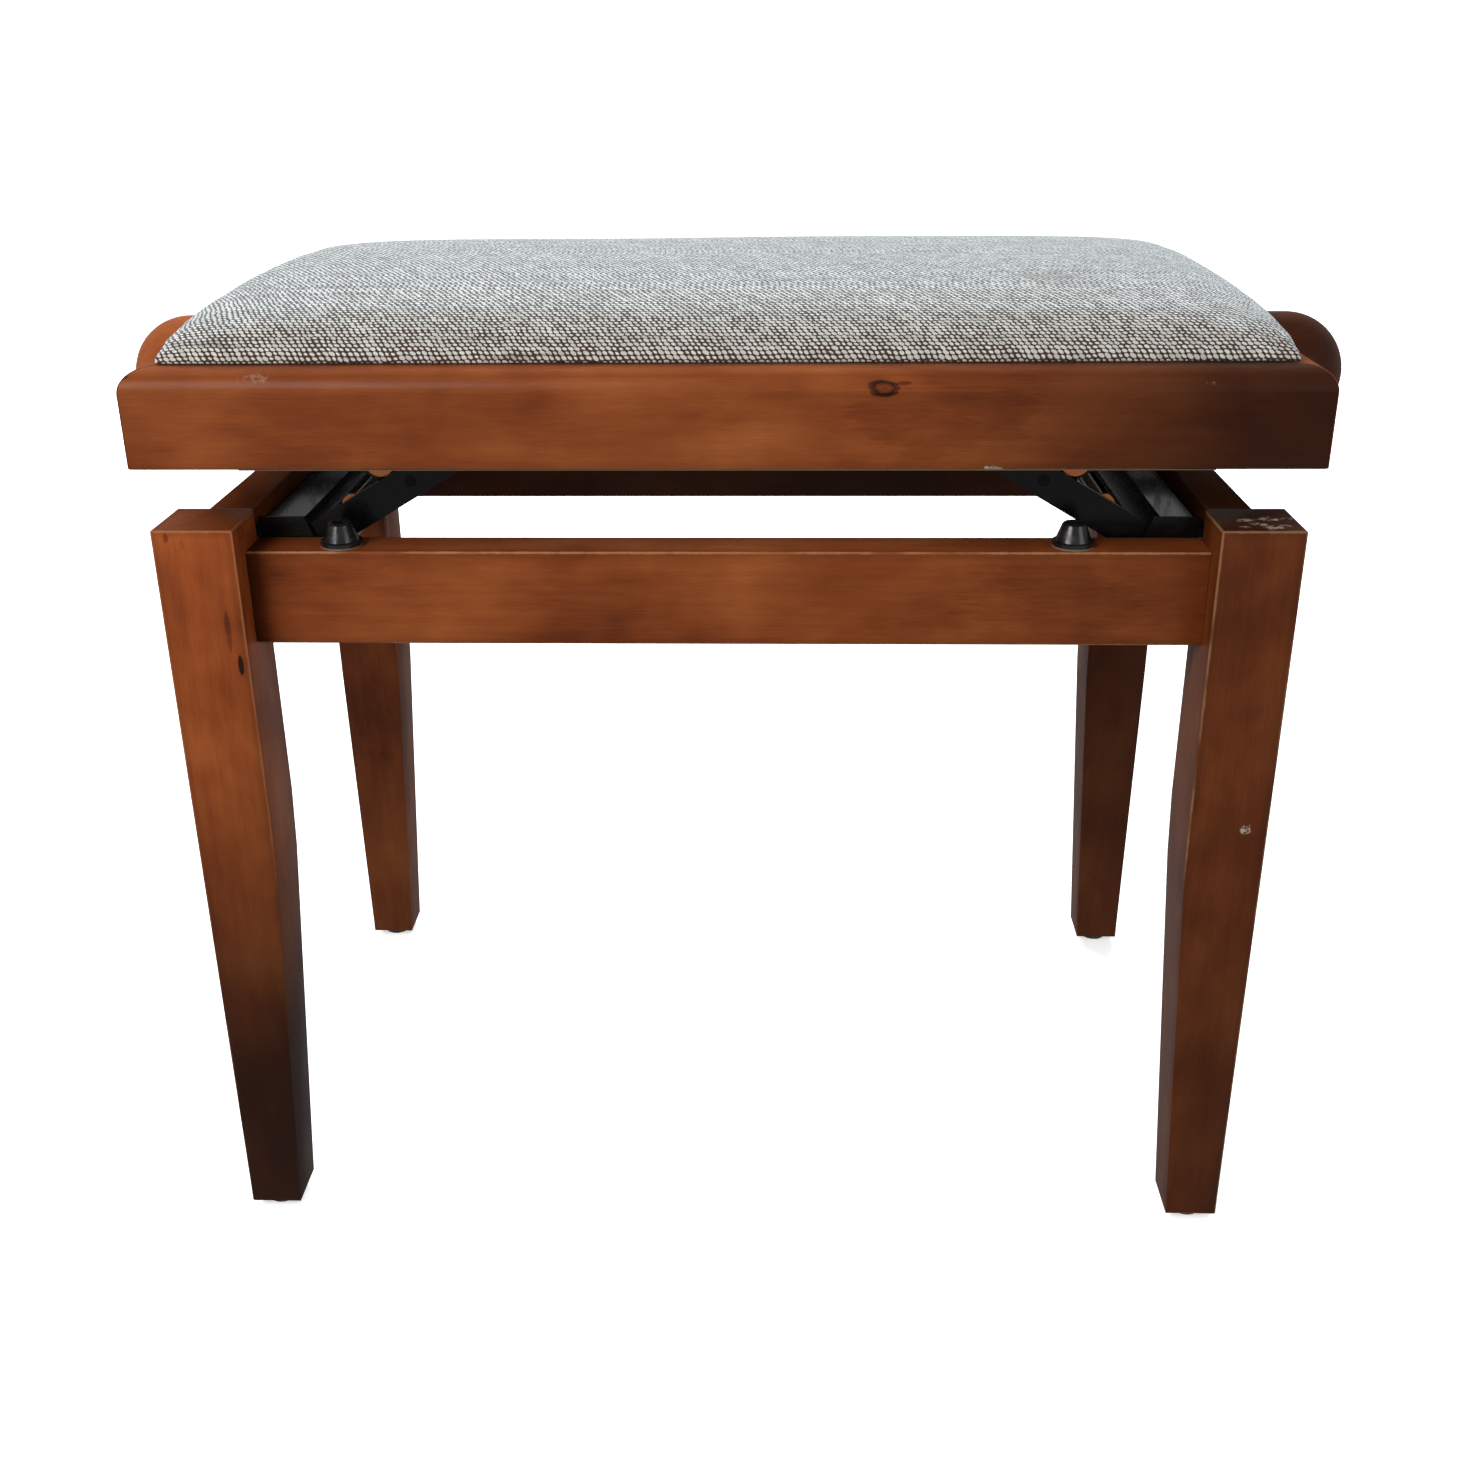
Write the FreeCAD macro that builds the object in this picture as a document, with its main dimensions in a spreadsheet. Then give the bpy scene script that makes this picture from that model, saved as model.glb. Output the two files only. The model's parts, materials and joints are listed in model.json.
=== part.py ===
"""Height-adjustable piano bench: a wooden base on four tapered legs and a drop-in upholstered seat.

A hand-turned spindle with a knob at each end runs along the seat. Its two opposite threads move a
left and a right nut, whose cross bars swing a pair of steel arms on each side and lift the seat.
Millimetres, +X along the bench, -Y towards the player's side, +Z up, z = 0 on the floor.
"""

import FreeCAD
import Part
import Sketcher
import os
import re

V = FreeCAD.Vector
X_AXIS, Y_AXIS, Z_AXIS = V(1, 0, 0), V(0, 1, 0), V(0, 0, 1)

DRIVING = {
    # base
    "leg_span": 550, "leg_depth": 333, "leg_top": 405, "leg_thick": 40, "foot_thick": 28,
    "leg_bend": 233, "bend_blend": 17, "arris": 1, "corner_round": 7, "glide_tall": 5, "glide_radius": 9.5,
    "apron_setback": 15, "apron_top": 390, "apron_tall": 48, "apron_thick": 22, "front_thick": 26,
    "side_setback": 16, "dowel_radius": 4, "dowel_reach": 18, "dowel_pitch": 12.5,
    "bumper_left": 190, "bumper_right": 170.5, "bumper_row": 139.5, "bumper_tall": 11.6,
    "bumper_radius": 10.3,
    # seat
    "seat_long": 556, "seat_deep": 345, "rail_low": 436, "rail_top": 482, "rail_thick": 18,
    "rail_round": 11, "board_thick": 8, "board_play": 0.5, "cleat_wide": 26, "cleat_low": 431,
    "cleat_half": 232, "cushion_long": 533, "cushion_deep": 314, "cushion_rise": 29.5,
    "cushion_corner": 12, "cushion_gap": 0.2,
    # lifting gear
    "pivot_out": 225, "base_pivot": 377.5, "seat_pivot": 458, "arm_long": 158.14,
    "arm_half": 8.2, "sheet": 2.5, "arm_face": 122.7, "link_face": 117.2, "link_half": 9.5,
    "pin_radius": 3, "play": 0.05, "slot_in": 1.3, "slot_out": 8, "slot_half": 4.8,
    "slot_rise": 0.45, "mid_slack": 5.6, "mid_drop": 2, "tie_radius": 4, "link_tie": 18,
    "arm_tie": 46, "arm_tie_rise": 4, "collar_radius": 7.5, "tray_sheet": 2, "tray_low": 350,
    "tray_in": 198, "tray_lip": 222, "tray_wall_top": 396, "tray_ear_top": 400, "tray_end": 125.3,
    "spindle_height": 447.5, "spindle_radius": 5, "spindle_half": 300, "bar_radius": 4,
    "bar_half": 123.6, "nut_half": 14, "nut_low": 440, "nut_top": 466, "bush_radius": 8,
    "knob_gap": 2.5, "knob_radius": 32, "knob_neck": 23, "knob_end": 334, "screw_radius": 1.75,
    "screw_head": 4,
}

# positions worked out from the driving dimensions
LEG_X = "leg_span/2"
LEG_Y = "leg_depth/2"
LEG_IN_X = "(leg_span/2-leg_thick)"
LEG_IN_Y = "(leg_depth/2-leg_thick)"
APRON_OUT_Y = "(leg_depth/2-apron_setback)"
APRON_IN_Y = "(leg_depth/2-apron_setback-front_thick)"
APRON_LOW = "(apron_top-apron_tall)"
SIDE_OUT_X = "(leg_span/2-side_setback)"
SIDE_IN_X = "(leg_span/2-side_setback-apron_thick)"
RAIL_IN_X = "(seat_long/2-rail_thick)"
RAIL_IN_Y = "(seat_deep/2-rail_thick)"
ARM_ANGLE = "asin((seat_pivot-base_pivot)/arm_long)"
NUT_X = "(pivot_out-sqrt(arm_long^2-(seat_pivot-base_pivot)^2))"

doc = FreeCAD.newDocument("PianoBench")
sizes = doc.addObject("Spreadsheet::Sheet", "Sizes")
for row, (alias, number) in enumerate(DRIVING.items(), 1):
    sizes.set(f"A{row}", alias)
    sizes.set(f"B{row}", str(number))
    sizes.setAlias(f"B{row}", alias)
doc.recompute()


def cells(text):
    """The same expression with each driving dimension read from the sheet."""
    return re.sub(r"[a-z_]+", lambda m: f"Sizes.{m[0]}" if m[0] in DRIVING else m[0], str(text))


def number(text):
    result = sizes.evalExpression(cells(text))
    return float(getattr(result, "Value", result))


def bind(item, **sizes_of):
    for name, text in sizes_of.items():
        item.setExpression(name, cells(text))
    return item


def place(item, x="0", y="0", z="0"):
    """Put an object's own origin at a point given by three expressions."""
    for axis, text in zip("xyz", (x, y, z)):
        item.setExpression(f"Placement.Base.{axis}", cells(text))
    return item


def turned(item, axis, degrees):
    item.Placement.Rotation = FreeCAD.Rotation(axis, number(degrees))
    item.setExpression("Placement.Rotation.Angle", cells(degrees))
    return item


def named(item, label):
    item.Label = label
    return item


# ---------------------------------------------------------------- primitives and booleans
def block(label, low, high):
    """A box between two corners, each given as three expressions."""
    item = named(doc.addObject("Part::Box", label), label)
    for prop, a, b in zip(("Length", "Width", "Height"), low, high):
        item.setExpression(prop, cells(f"({b})-({a})"))
    return place(item, *low)


def rod(label, radius, long, start, axis=Z_AXIS):
    """A cylinder from a start point along +X, +Y or +Z."""
    item = named(doc.addObject("Part::Cylinder", label), label)
    bind(item, Radius=radius, Height=long)
    item.Placement.Rotation = FreeCAD.Rotation(Z_AXIS, axis)
    return place(item, *start)


def fused(label, *items):
    whole = named(doc.addObject("Part::MultiFuse", label), label)
    whole.Shapes = list(items)
    return whole


def grouped(label, *items):
    """Separate solids that share one node."""
    group = named(doc.addObject("Part::Compound", label), label)
    group.Links = list(items)
    return group


def cut(label, base, *tools):
    result = named(doc.addObject("Part::Cut", label), label)
    result.Base = base
    result.Tool = tools[0] if len(tools) == 1 else grouped(f"{label}_tools", *tools)
    doc.recompute()
    if result.Shape.Volume > base.Shape.Volume - 1:
        raise RuntimeError(f"{label}: the cut took nothing away")
    return result


def mirrored(label, source, normal):
    copy = named(doc.addObject("Part::Mirroring", label), label)
    copy.Source = source
    copy.Normal = normal
    return copy


def edge_indices(shape, wanted):
    """Numbers of the edges whose bounding box passes a test."""
    return [i for i, edge in enumerate(shape.Edges, 1) if wanted(edge.BoundBox)]


def eased(label, base, radius, wanted):
    """Round the chosen edges of a primitive."""
    doc.recompute()
    item = named(doc.addObject("Part::Fillet", label), label)
    item.Base = base
    item.Edges = [(i, number(radius), number(radius)) for i in edge_indices(base.Shape, wanted)]
    return item


# ---------------------------------------------------------------- sketched bodies
def body(label):
    return named(doc.addObject("PartDesign::Body", label), label)


def sketch(owner, plane, name):
    item = owner.newObject("Sketcher::SketchObject", name)
    flat = [f for f in owner.Origin.OriginFeatures if f.Role == f"{plane}_Plane"][0]
    item.AttachmentSupport = (flat, [""])
    item.MapMode = "FlatFace"
    return item


def pin_point(item, piece, end, corner):
    """Tie one end of a sketch line to a point given by two expressions."""
    for kind, text in zip(("DistanceX", "DistanceY"), corner):
        index = item.addConstraint(Sketcher.Constraint(kind, -1, 1, piece, end, number(text)))
        item.setExpression(f"Constraints[{index}]", cells(text))


def outline(item, corners):
    """Draw a closed outline of straight lines, each corner bound to the sheet."""
    points = [V(number(x), number(y), 0) for x, y in corners]
    first = item.GeometryCount
    count = len(corners)
    for i in range(count):
        item.addGeometry(Part.LineSegment(points[i], points[(i + 1) % count]))
    for i, corner in enumerate(corners):
        following = first + (i + 1) % count
        item.addConstraint(Sketcher.Constraint("Coincident", first + i, 2, following, 1))
        pin_point(item, first + i, 1, corner)
    return item


def circle(item, centre, radius):
    x, y, r = (number(text) for text in (*centre, radius))
    piece = item.addGeometry(Part.Circle(V(x, y, 0), Z_AXIS, r))
    pin_point(item, piece, 3, centre)
    index = item.addConstraint(Sketcher.Constraint("Radius", piece, r))
    item.setExpression(f"Constraints[{index}]", cells(radius))
    return item


def pad(owner, profile, long, both_ways=False):
    item = owner.newObject("PartDesign::Pad", "Pad")
    item.Profile = profile
    item.Midplane = both_ways
    return bind(item, Length=long)


def pocket(owner, profile, reversed_side=False):
    """Cut right through, and make sure that the cut met the solid."""
    doc.recompute()
    before = owner.Shape.Volume
    item = owner.newObject("PartDesign::Pocket", "Pocket")
    item.Profile = profile
    item.Type = "ThroughAll"
    item.Reversed = reversed_side
    doc.recompute()
    if not item.Shape.Volume < before - 1:
        raise RuntimeError(f"{owner.Label}: a pocket cut nothing")
    return item


def rounded(owner, feature, radius, wanted):
    doc.recompute()
    item = owner.newObject("PartDesign::Fillet", "Fillet")
    item.Base = (feature, [f"Edge{i}" for i in edge_indices(feature.Shape, wanted)])
    return bind(item, Radius=radius)


def turned_piece(label, corners):
    """A piece turned about its own Z axis; each corner is (radius, height)."""
    owner = body(label)
    profile = outline(sketch(owner, "XZ", f"{label}_profile"), corners)
    item = owner.newObject("PartDesign::Revolution", "Revolution")
    item.Profile = profile
    item.ReferenceAxis = (profile, ["V_Axis"])
    item.Angle = 360
    return owner, item


def plate(label, corners, face, long="sheet"):
    """A sheet-metal or wooden plate drawn in X-Z; its outer face is at y = -face."""
    owner = body(label)
    pad(owner, outline(sketch(owner, "XZ", f"{label}_outline"), corners), long)
    return place(owner, y=f"({long})-({face})")


# ---------------------------------------------------------------- base: legs, aprons, dowels
def corner_dowels():
    """Two dowels from the leg into the front apron and two into the side apron."""
    pegs = []
    for step in range(4):
        high = f"{APRON_LOW}+{step + 0.9}*dowel_pitch"
        if step % 2 == 0:
            start = (f"-{LEG_IN_X}-dowel_reach", f"-{APRON_OUT_Y}+front_thick/2", high)
            pegs.append(rod(f"peg_{step}", "dowel_radius", "2*dowel_reach", start, X_AXIS))
        else:
            start = (f"-{SIDE_OUT_X}+apron_thick/2", f"-{LEG_IN_Y}-dowel_reach", high)
            pegs.append(rod(f"peg_{step}", "dowel_radius", "2*dowel_reach", start, Y_AXIS))
    return fused("corner_pegs", *pegs)


def leg(pegs):
    """Square above, with the two inner faces tapering in below a soft bend."""
    owner = body("leg_blank")
    taper = "(leg_thick-foot_thick)/(leg_bend-glide_tall)"
    low, high = "(leg_bend-bend_blend)", "(leg_bend+bend_blend)"
    at_low = f"(leg_thick-bend_blend*{taper})"
    front = [
        (f"-{LEG_X}", "glide_tall"), (f"-{LEG_X}+foot_thick", "glide_tall"),
        (f"-{LEG_X}+{at_low}", low), (f"-{LEG_IN_X}", high),
        (f"-{LEG_IN_X}", "leg_top"), (f"-{LEG_X}", "leg_top"),
    ]
    pad(owner, outline(sketch(owner, "XZ", "leg_front"), front), "leg_thick")
    waste = [
        (f"{LEG_IN_Y}-{LEG_Y}+foot_thick", "glide_tall"), ("5", "glide_tall"), ("5", high),
        ("0", high), (f"{at_low}-leg_thick", low),
    ]
    shaped = pocket(owner, outline(sketch(owner, "YZ", "leg_waste"), waste))
    full, low_end = 0.9 * number("leg_top"), number("glide_tall") + 1
    rounded(owner, shaped, "arris",
            lambda box: box.ZLength > full or box.ZMin > full or box.ZMax < low_end)
    place(owner, y=f"-{LEG_IN_Y}")
    return cut("front_left_leg", owner, pegs, corner_relief())


def corner_relief():
    """What is taken off a leg's inner corner above the front apron, leaving a round corner."""
    centre_x, centre_y = f"(-{LEG_IN_X}-corner_round)", f"(-{LEG_IN_Y}-corner_round)"
    square = block("relief_square", (centre_x, centre_y, "apron_top"),
                   (f"-{LEG_IN_X}+1", f"-{LEG_IN_Y}+1", "leg_top+1"))
    core = rod("relief_core", "corner_round", "leg_top-apron_top+4",
               (centre_x, centre_y, "apron_top-1"))
    return cut("corner_relief", square, core)


def aprons(all_pegs):
    """Front and rear aprons between the legs, and taller side aprons level with the leg tops."""
    front = block("front_board", (f"-{LEG_IN_X}", f"-{APRON_OUT_Y}", APRON_LOW),
                  (LEG_IN_X, f"-{APRON_IN_Y}", "apron_top"))
    front = eased("front_eased", front, "1.5*arris", lambda box: box.XLength > 100)
    front = cut("front_apron", front, all_pegs)
    side = block("side_board", (f"-{SIDE_OUT_X}", f"-{LEG_IN_Y}", APRON_LOW),
                 (f"-{SIDE_IN_X}", LEG_IN_Y, "leg_top"))
    side = eased("side_eased", side, "arris", lambda box: box.YLength > 100)
    side = cut("left_apron", side, all_pegs)
    return [front, mirrored("rear_apron", front, Y_AXIS),
            side, mirrored("right_apron", side, X_AXIS)]


def glide(label, side, end):
    """A low domed foot under a leg."""
    owner, turned_solid = turned_piece(label, [
        ("0", "0"), ("glide_radius-1", "0"), ("glide_radius", "1.2"),
        ("glide_radius", "glide_tall"), ("0", "glide_tall"),
    ])
    owner.Tip = turned_solid
    return place(owner, f"{side}*({LEG_X}-foot_thick/2)", f"{end}*({LEG_Y}-foot_thick/2)")


def bumper(label, x, y):
    """A rubber stop: a flanged cone with a sunk top."""
    flange, top = "0.22*bumper_tall", "0.5*bumper_radius"
    owner, solid = turned_piece(label, [
        ("0", "0"), ("bumper_radius", "0"), ("bumper_radius", flange),
        ("0.86*bumper_radius", f"{flange}+0.4"), (f"{top}+0.7", "bumper_tall-0.7"),
        (top, "bumper_tall"), ("0.36*bumper_radius", "bumper_tall"),
        ("0.3*bumper_radius", "0.55*bumper_tall"), ("0", "0.55*bumper_tall"),
    ])
    owner.Tip = solid
    return place(owner, x, y, "apron_top")


# ---------------------------------------------------------------- base: steel trays and pins
def tray():
    """A folded steel tray between the front and rear aprons, with an upright ear at each end."""
    edge = "(pivot_out+9.8)"
    low, floor_top = "tray_low", "(tray_low+tray_sheet)"
    floor = block("tray_floor", (f"-{edge}", "-tray_end", low),
                  ("-tray_lip", "tray_end", floor_top))
    wall = block("tray_wall", (f"-{edge}-tray_sheet", "-tray_end", low),
                 (f"-{edge}", "tray_end", "tray_wall_top"))
    corners = [(f"-{edge}", low), ("-tray_in", low), ("-tray_in", "tray_low+16"),
               ("-tray_in-14", "tray_ear_top"), (f"-{edge}", "tray_ear_top")]
    ear = plate("tray_ear", corners, "tray_end", "tray_sheet")
    whole = fused("tray_blank", floor, wall, ear, mirrored("tray_far_ear", ear, Y_AXIS))
    bores = []
    for end in (-1, 1):
        for name, x, z, radius in (("pin", "pivot_out", "base_pivot", "pin_radius+1"),
                                   ("out", "pivot_out-12", "tray_low+9", "screw_radius"),
                                   ("in", "tray_in+5", "tray_low+9", "screw_radius")):
            start = (f"-({x})", f"{end}*tray_end-5", z)
            bores.append(rod(f"tray_{name}_bore_{end + 1}", radius, "10", start, Y_AXIS))
    return cut("left_tray", whole, *bores)


def tray_screws():
    """Pan-head screws through a tray's ears into the front and rear aprons."""
    items = []
    for x in ("pivot_out-12", "tray_in+5"):
        for end in (-1, 1):
            tag = f"{len(items)}"
            inner = "(tray_end-tray_sheet)"
            length = "(tray_sheet+14)"
            start = f"{inner}" if end > 0 else f"-{inner}-{length}"
            shank = rod(f"tray_shank_{tag}", "screw_radius", length,
                        (f"-({x})", start, "tray_low+9"), Y_AXIS)
            head_at = f"{inner}-1.8" if end > 0 else f"-{inner}"
            head = rod(f"tray_head_{tag}", "screw_head", "1.8",
                       (f"-({x})", head_at, "tray_low+9"), Y_AXIS)
            items.append(fused(f"tray_screw_{tag}", shank, head))
    left = grouped("left_tray_screws", *items)
    return grouped("tray_screws", left, mirrored("right_tray_screws", left, X_AXIS))


def stepped_pin(label, x, z, *steps):
    """A shouldered pin across the bench; each step is (radius, from, to) in depth from y = 0."""
    pieces = [rod(f"{label}_step_{i}", radius, f"({far})-({near})", (x, f"-({far})", z), Y_AXIS)
              for i, (radius, near, far) in enumerate(steps)]
    return pieces[0] if len(pieces) == 1 else fused(label, *pieces)


def all_four(label, source):
    """The same piece at the two ends of both sides, as one node."""
    pair = grouped(f"{label}_left", source, mirrored(f"{label}_far", source, Y_AXIS))
    return grouped(label, pair, mirrored(f"{label}_right", pair, X_AXIS))


def base_pins():
    shank, head = "pin_radius+1", "pin_radius+2.5"
    inner = "arm_face-sheet"
    return all_four("base_pivot_pins", stepped_pin(
        "base_pin", "-pivot_out", "base_pivot", (shank, f"{inner}-1.8", "tray_end"),
        (head, f"{inner}-1.8", f"{inner}-0.3")))


# ---------------------------------------------------------------- seat: rails, board, cushion
def seat_rail(label, long):
    """A mitred rail whose outer top edge is rounded; its outer face is y = 0, inside is +Y."""
    owner = body(label)
    tall = "(rail_top-rail_low)"
    section = [("0", "0"), ("rail_thick", "0"), ("rail_thick", tall), ("0", tall)]
    bar = pad(owner, outline(sketch(owner, "YZ", f"{label}_section"), section), long, True)
    soft = rounded(owner, bar, "rail_round", lambda box: box.YMax < 1 and box.ZMin > 20)
    soft = rounded(owner, soft, "1.2*arris", lambda box: box.XLength > 100 and box.ZMax < 1)
    mitres = sketch(owner, "XY", f"{label}_mitres")
    end = f"({long})/2"
    for side in ("-", ""):
        outline(mitres, [(f"{side}{end}", "0"), (f"{side}({end}+5)", "0"),
                         (f"{side}({end}+5)", "rail_thick+1"),
                         (f"{side}({end}-rail_thick-1)", "rail_thick+1")])
    pocket(owner, mitres, True)
    return owner


def seat_frame():
    front = place(seat_rail("front_seat_rail", "seat_long"), y="-seat_deep/2", z="rail_low")
    side = seat_rail("left_rail_blank", "seat_deep")
    side = place(turned(side, Z_AXIS, "-90"), x="-seat_long/2", z="rail_low")
    hole = rod("bush_hole", "bush_radius", "rail_thick+4",
               ("-seat_long/2-2", "0", "spindle_height"), X_AXIS)
    left = cut("left_seat_rail", side, hole)
    return [front, mirrored("rear_seat_rail", front, Y_AXIS),
            left, mirrored("right_seat_rail", left, X_AXIS)]


def cleat():
    """A strip inside the front rail that carries the seat board and meets the rubber stops."""
    strip = block("cleat_strip", ("-cleat_half", f"-{RAIL_IN_Y}", "cleat_low"),
                  ("cleat_half", f"cleat_wide-{RAIL_IN_Y}", "rail_top-board_thick"))
    strip = eased("cleat_eased", strip, "arris", lambda box: box.XLength > 100 and box.ZMax < 440)
    bores = [rod(f"board_screw_bore_{i}", "screw_radius", "60",
                 (x, f"-{RAIL_IN_Y}+cleat_wide/2", "cleat_low-1"))
             for i, x in enumerate(("-cleat_half*0.5", "0", "cleat_half*0.5"))]
    return cut("front_cleat", strip, *bores)


def board_screws():
    """Long screws up through the cleats into the seat board."""
    row = []
    for i, x in enumerate(("-cleat_half*0.5", "0", "cleat_half*0.5")):
        y = f"-{RAIL_IN_Y}+cleat_wide/2"
        long = "rail_top-board_thick-cleat_low+6"
        shank = rod(f"board_shank_{i}", "screw_radius", long, (x, y, "cleat_low"))
        head = rod(f"board_head_{i}", "screw_head", "1.5", (x, y, "cleat_low-1.5"))
        row.append(fused(f"board_screw_{i}", shank, head))
    front = grouped("front_board_screws", *row)
    return grouped("board_screws", front, mirrored("rear_board_screws", front, Y_AXIS))


def seat_board(screws):
    flat = block("board_blank", (f"board_play-{RAIL_IN_X}", f"board_play-{RAIL_IN_Y}",
                                 "rail_top-board_thick"),
                 (f"{RAIL_IN_X}-board_play", f"{RAIL_IN_Y}-board_play", "rail_top"))
    return cut("seat_board", flat, screws)


def crown(label, plane, half, long, fullness, softness):
    """A long block whose top swells in a soft curve and falls to its two lower edges."""
    base = "(rail_top+cushion_gap)"
    rising = []
    for turn in (76, 62, 48, 34, 18):
        height = f"{base}+cushion_rise*(1-sin({turn})^{fullness})^(1/{softness})"
        rising.append((f"{half}*sin({turn})", height))
    left = [(f"-({x})", z) for x, z in rising]
    corners = [(f"-({half})", base), *left, *reversed(rising), (half, base)]
    owner = body(label)
    pad(owner, outline(sketch(owner, plane, f"{label}_section"), corners), long, True)
    return owner


def cushion():
    """The upholstered pad, which laps a little over the rails and swells to a soft crown."""
    out_x, out_y = "cushion_long/2", "cushion_deep/2"
    pad_block = block("cushion_block", (f"-{out_x}", f"-{out_y}", "rail_top+cushion_gap"),
                      (out_x, out_y, "rail_top+cushion_gap+cushion_rise+1"))
    corners = eased("cushion_corners", pad_block, "cushion_corner", lambda box: box.ZLength > 20)
    swell = named(doc.addObject("Part::Common", "cushion_swell"), "cushion_swell")
    swell.Base = crown("cushion_depth_crown", "YZ", out_y, "cushion_long", 2.6, 2.2)
    swell.Tool = crown("cushion_length_crown", "XZ", out_x, "cushion_deep", 8, 4)
    whole = named(doc.addObject("Part::Common", "cushion"), "cushion")
    whole.Base = corners
    whole.Tool = swell
    return whole


def seat_brackets():
    """Small steel angles on the end rails that hold the links' upper pins."""
    owner = body("bracket_blank")
    back, tip = f"-{RAIL_IN_X}", "-pivot_out+9"
    ear, inner = "-link_face+sheet+0.5", "-link_face+2*sheet+0.5"
    angle = [(back, ear), (tip, ear), (tip, inner), (f"{back}+sheet", inner),
             (f"{back}+sheet", f"{inner}+18"), (back, f"{inner}+18")]
    pad(owner, outline(sketch(owner, "XY", "bracket_angle"), angle), "20")
    place(owner, z="seat_pivot-10")
    y = f"-link_face+2*sheet+11"
    bores = [rod("seat_pin_bore", "pin_radius", "20", ("-pivot_out", "-link_face-3", "seat_pivot"),
                 Y_AXIS)]
    bores += [rod(f"bracket_bore_{i}", "screw_radius", "10", (f"{back}-3", y, z), X_AXIS)
              for i, z in enumerate(("seat_pivot-5", "seat_pivot+5"))]
    return all_four("seat_brackets", cut("bracket", owner, *bores))


def bracket_screws():
    pair = []
    y = f"-link_face+2*sheet+11"
    for i, z in enumerate(("seat_pivot-5", "seat_pivot+5")):
        shank = rod(f"bracket_shank_{i}", "screw_radius", "sheet+13",
                    (f"-{RAIL_IN_X}-13", y, z), X_AXIS)
        head = rod(f"bracket_head_{i}", "screw_head", "1.8", (f"-{RAIL_IN_X}+sheet", y, z), X_AXIS)
        pair.append(fused(f"bracket_screw_{i}", shank, head))
    return all_four("bracket_screws", grouped("bracket_screw_pair", *pair))


def seat_pins():
    inner = "(link_face-2*sheet-0.5)"
    return all_four("seat_pivot_pins", stepped_pin(
        "seat_pin", "-pivot_out", "seat_pivot", ("pin_radius", f"{inner}-1.5", "link_face+1.5"),
        ("pin_radius+2.5", f"{inner}-1.5", inner),
        ("pin_radius+2.5", "link_face+0.3", "link_face+1.8")))


def bush():
    """A flanged brass bush in the end rail, in which the spindle runs."""
    start = "-seat_long/2"
    sleeve = rod("bush_sleeve", "bush_radius", "rail_thick", (start, "0", "spindle_height"), X_AXIS)
    flange = rod("bush_flange", "bush_radius+4", "1.5", (f"{start}-1.5", "0", "spindle_height"),
                 X_AXIS)
    bore = rod("bush_bore", "spindle_radius+play", "rail_thick+10",
               (f"{start}-5", "0", "spindle_height"), X_AXIS)
    return cut("left_bush", fused("bush_blank", sleeve, flange), bore)


# ---------------------------------------------------------------- spindle, knobs and nuts
def spindle():
    return rod("spindle", "spindle_radius", "2*spindle_half",
               ("-spindle_half", "0", "spindle_height"), X_AXIS)


def thrust_collar():
    """A steel ring on the spindle just inside the end rail."""
    start = (f"-{RAIL_IN_X}+0.4", "0", "spindle_height")
    ring = rod("collar_ring", "spindle_radius+4", "7", start, X_AXIS)
    hole = rod("collar_hole", "spindle_radius", "7", start, X_AXIS)
    return cut("left_collar", ring, hole)


def knob():
    """A turned wooden knob with a short neck and a domed end; it is drawn along +Z."""
    owner = body("knob_blank")
    profile = sketch(owner, "XZ", "knob_profile")
    start, bore = "seat_long/2+knob_gap", "spindle_radius"
    full = "knob_end-knob_radius"
    corners = [("0", "knob_end"), ("0", "spindle_half"), (bore, "spindle_half"), (bore, start),
               ("knob_neck", start), ("knob_neck", f"{start}+3"),
               ("knob_radius", f"{start}+9"), ("knob_radius", full)]
    points = [V(number(x), number(y), 0) for x, y in corners]
    for i, corner in enumerate(corners[:-1]):
        profile.addGeometry(Part.LineSegment(points[i], points[i + 1]))
        pin_point(profile, i, 1, corner)
        if i:
            profile.addConstraint(Sketcher.Constraint("Coincident", i - 1, 2, i, 1))
    pin_point(profile, len(corners) - 2, 2, corners[-1])
    centre = V(0, number(full), 0)
    dome = Part.ArcOfCircle(Part.Circle(centre, Z_AXIS, number("knob_radius")), 0, 1.5707963)
    arc = profile.addGeometry(dome)
    profile.addConstraint(Sketcher.Constraint("Coincident", arc, 1, len(corners) - 2, 2))
    profile.addConstraint(Sketcher.Constraint("Coincident", arc, 2, 0, 1))
    turned_solid = owner.newObject("PartDesign::Revolution", "Revolution")
    turned_solid.Profile = profile
    turned_solid.ReferenceAxis = (profile, ["V_Axis"])
    turned_solid.Angle = 360
    edge = number(f"{start}+9")
    neck = number(f"{start}+3")
    radius = number("knob_radius")
    rounded(owner, turned_solid, "2.5", lambda box: (
        box.ZLength < 0.01 and abs(box.ZMin - edge) < 0.1 and box.XLength > 1.9 * radius)
        or (box.ZLength < 0.01 and abs(box.ZMin - neck) < 0.1))
    turned(owner, Y_AXIS, "90")
    return named(place(owner, z="spindle_height"), "right_knob")


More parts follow.
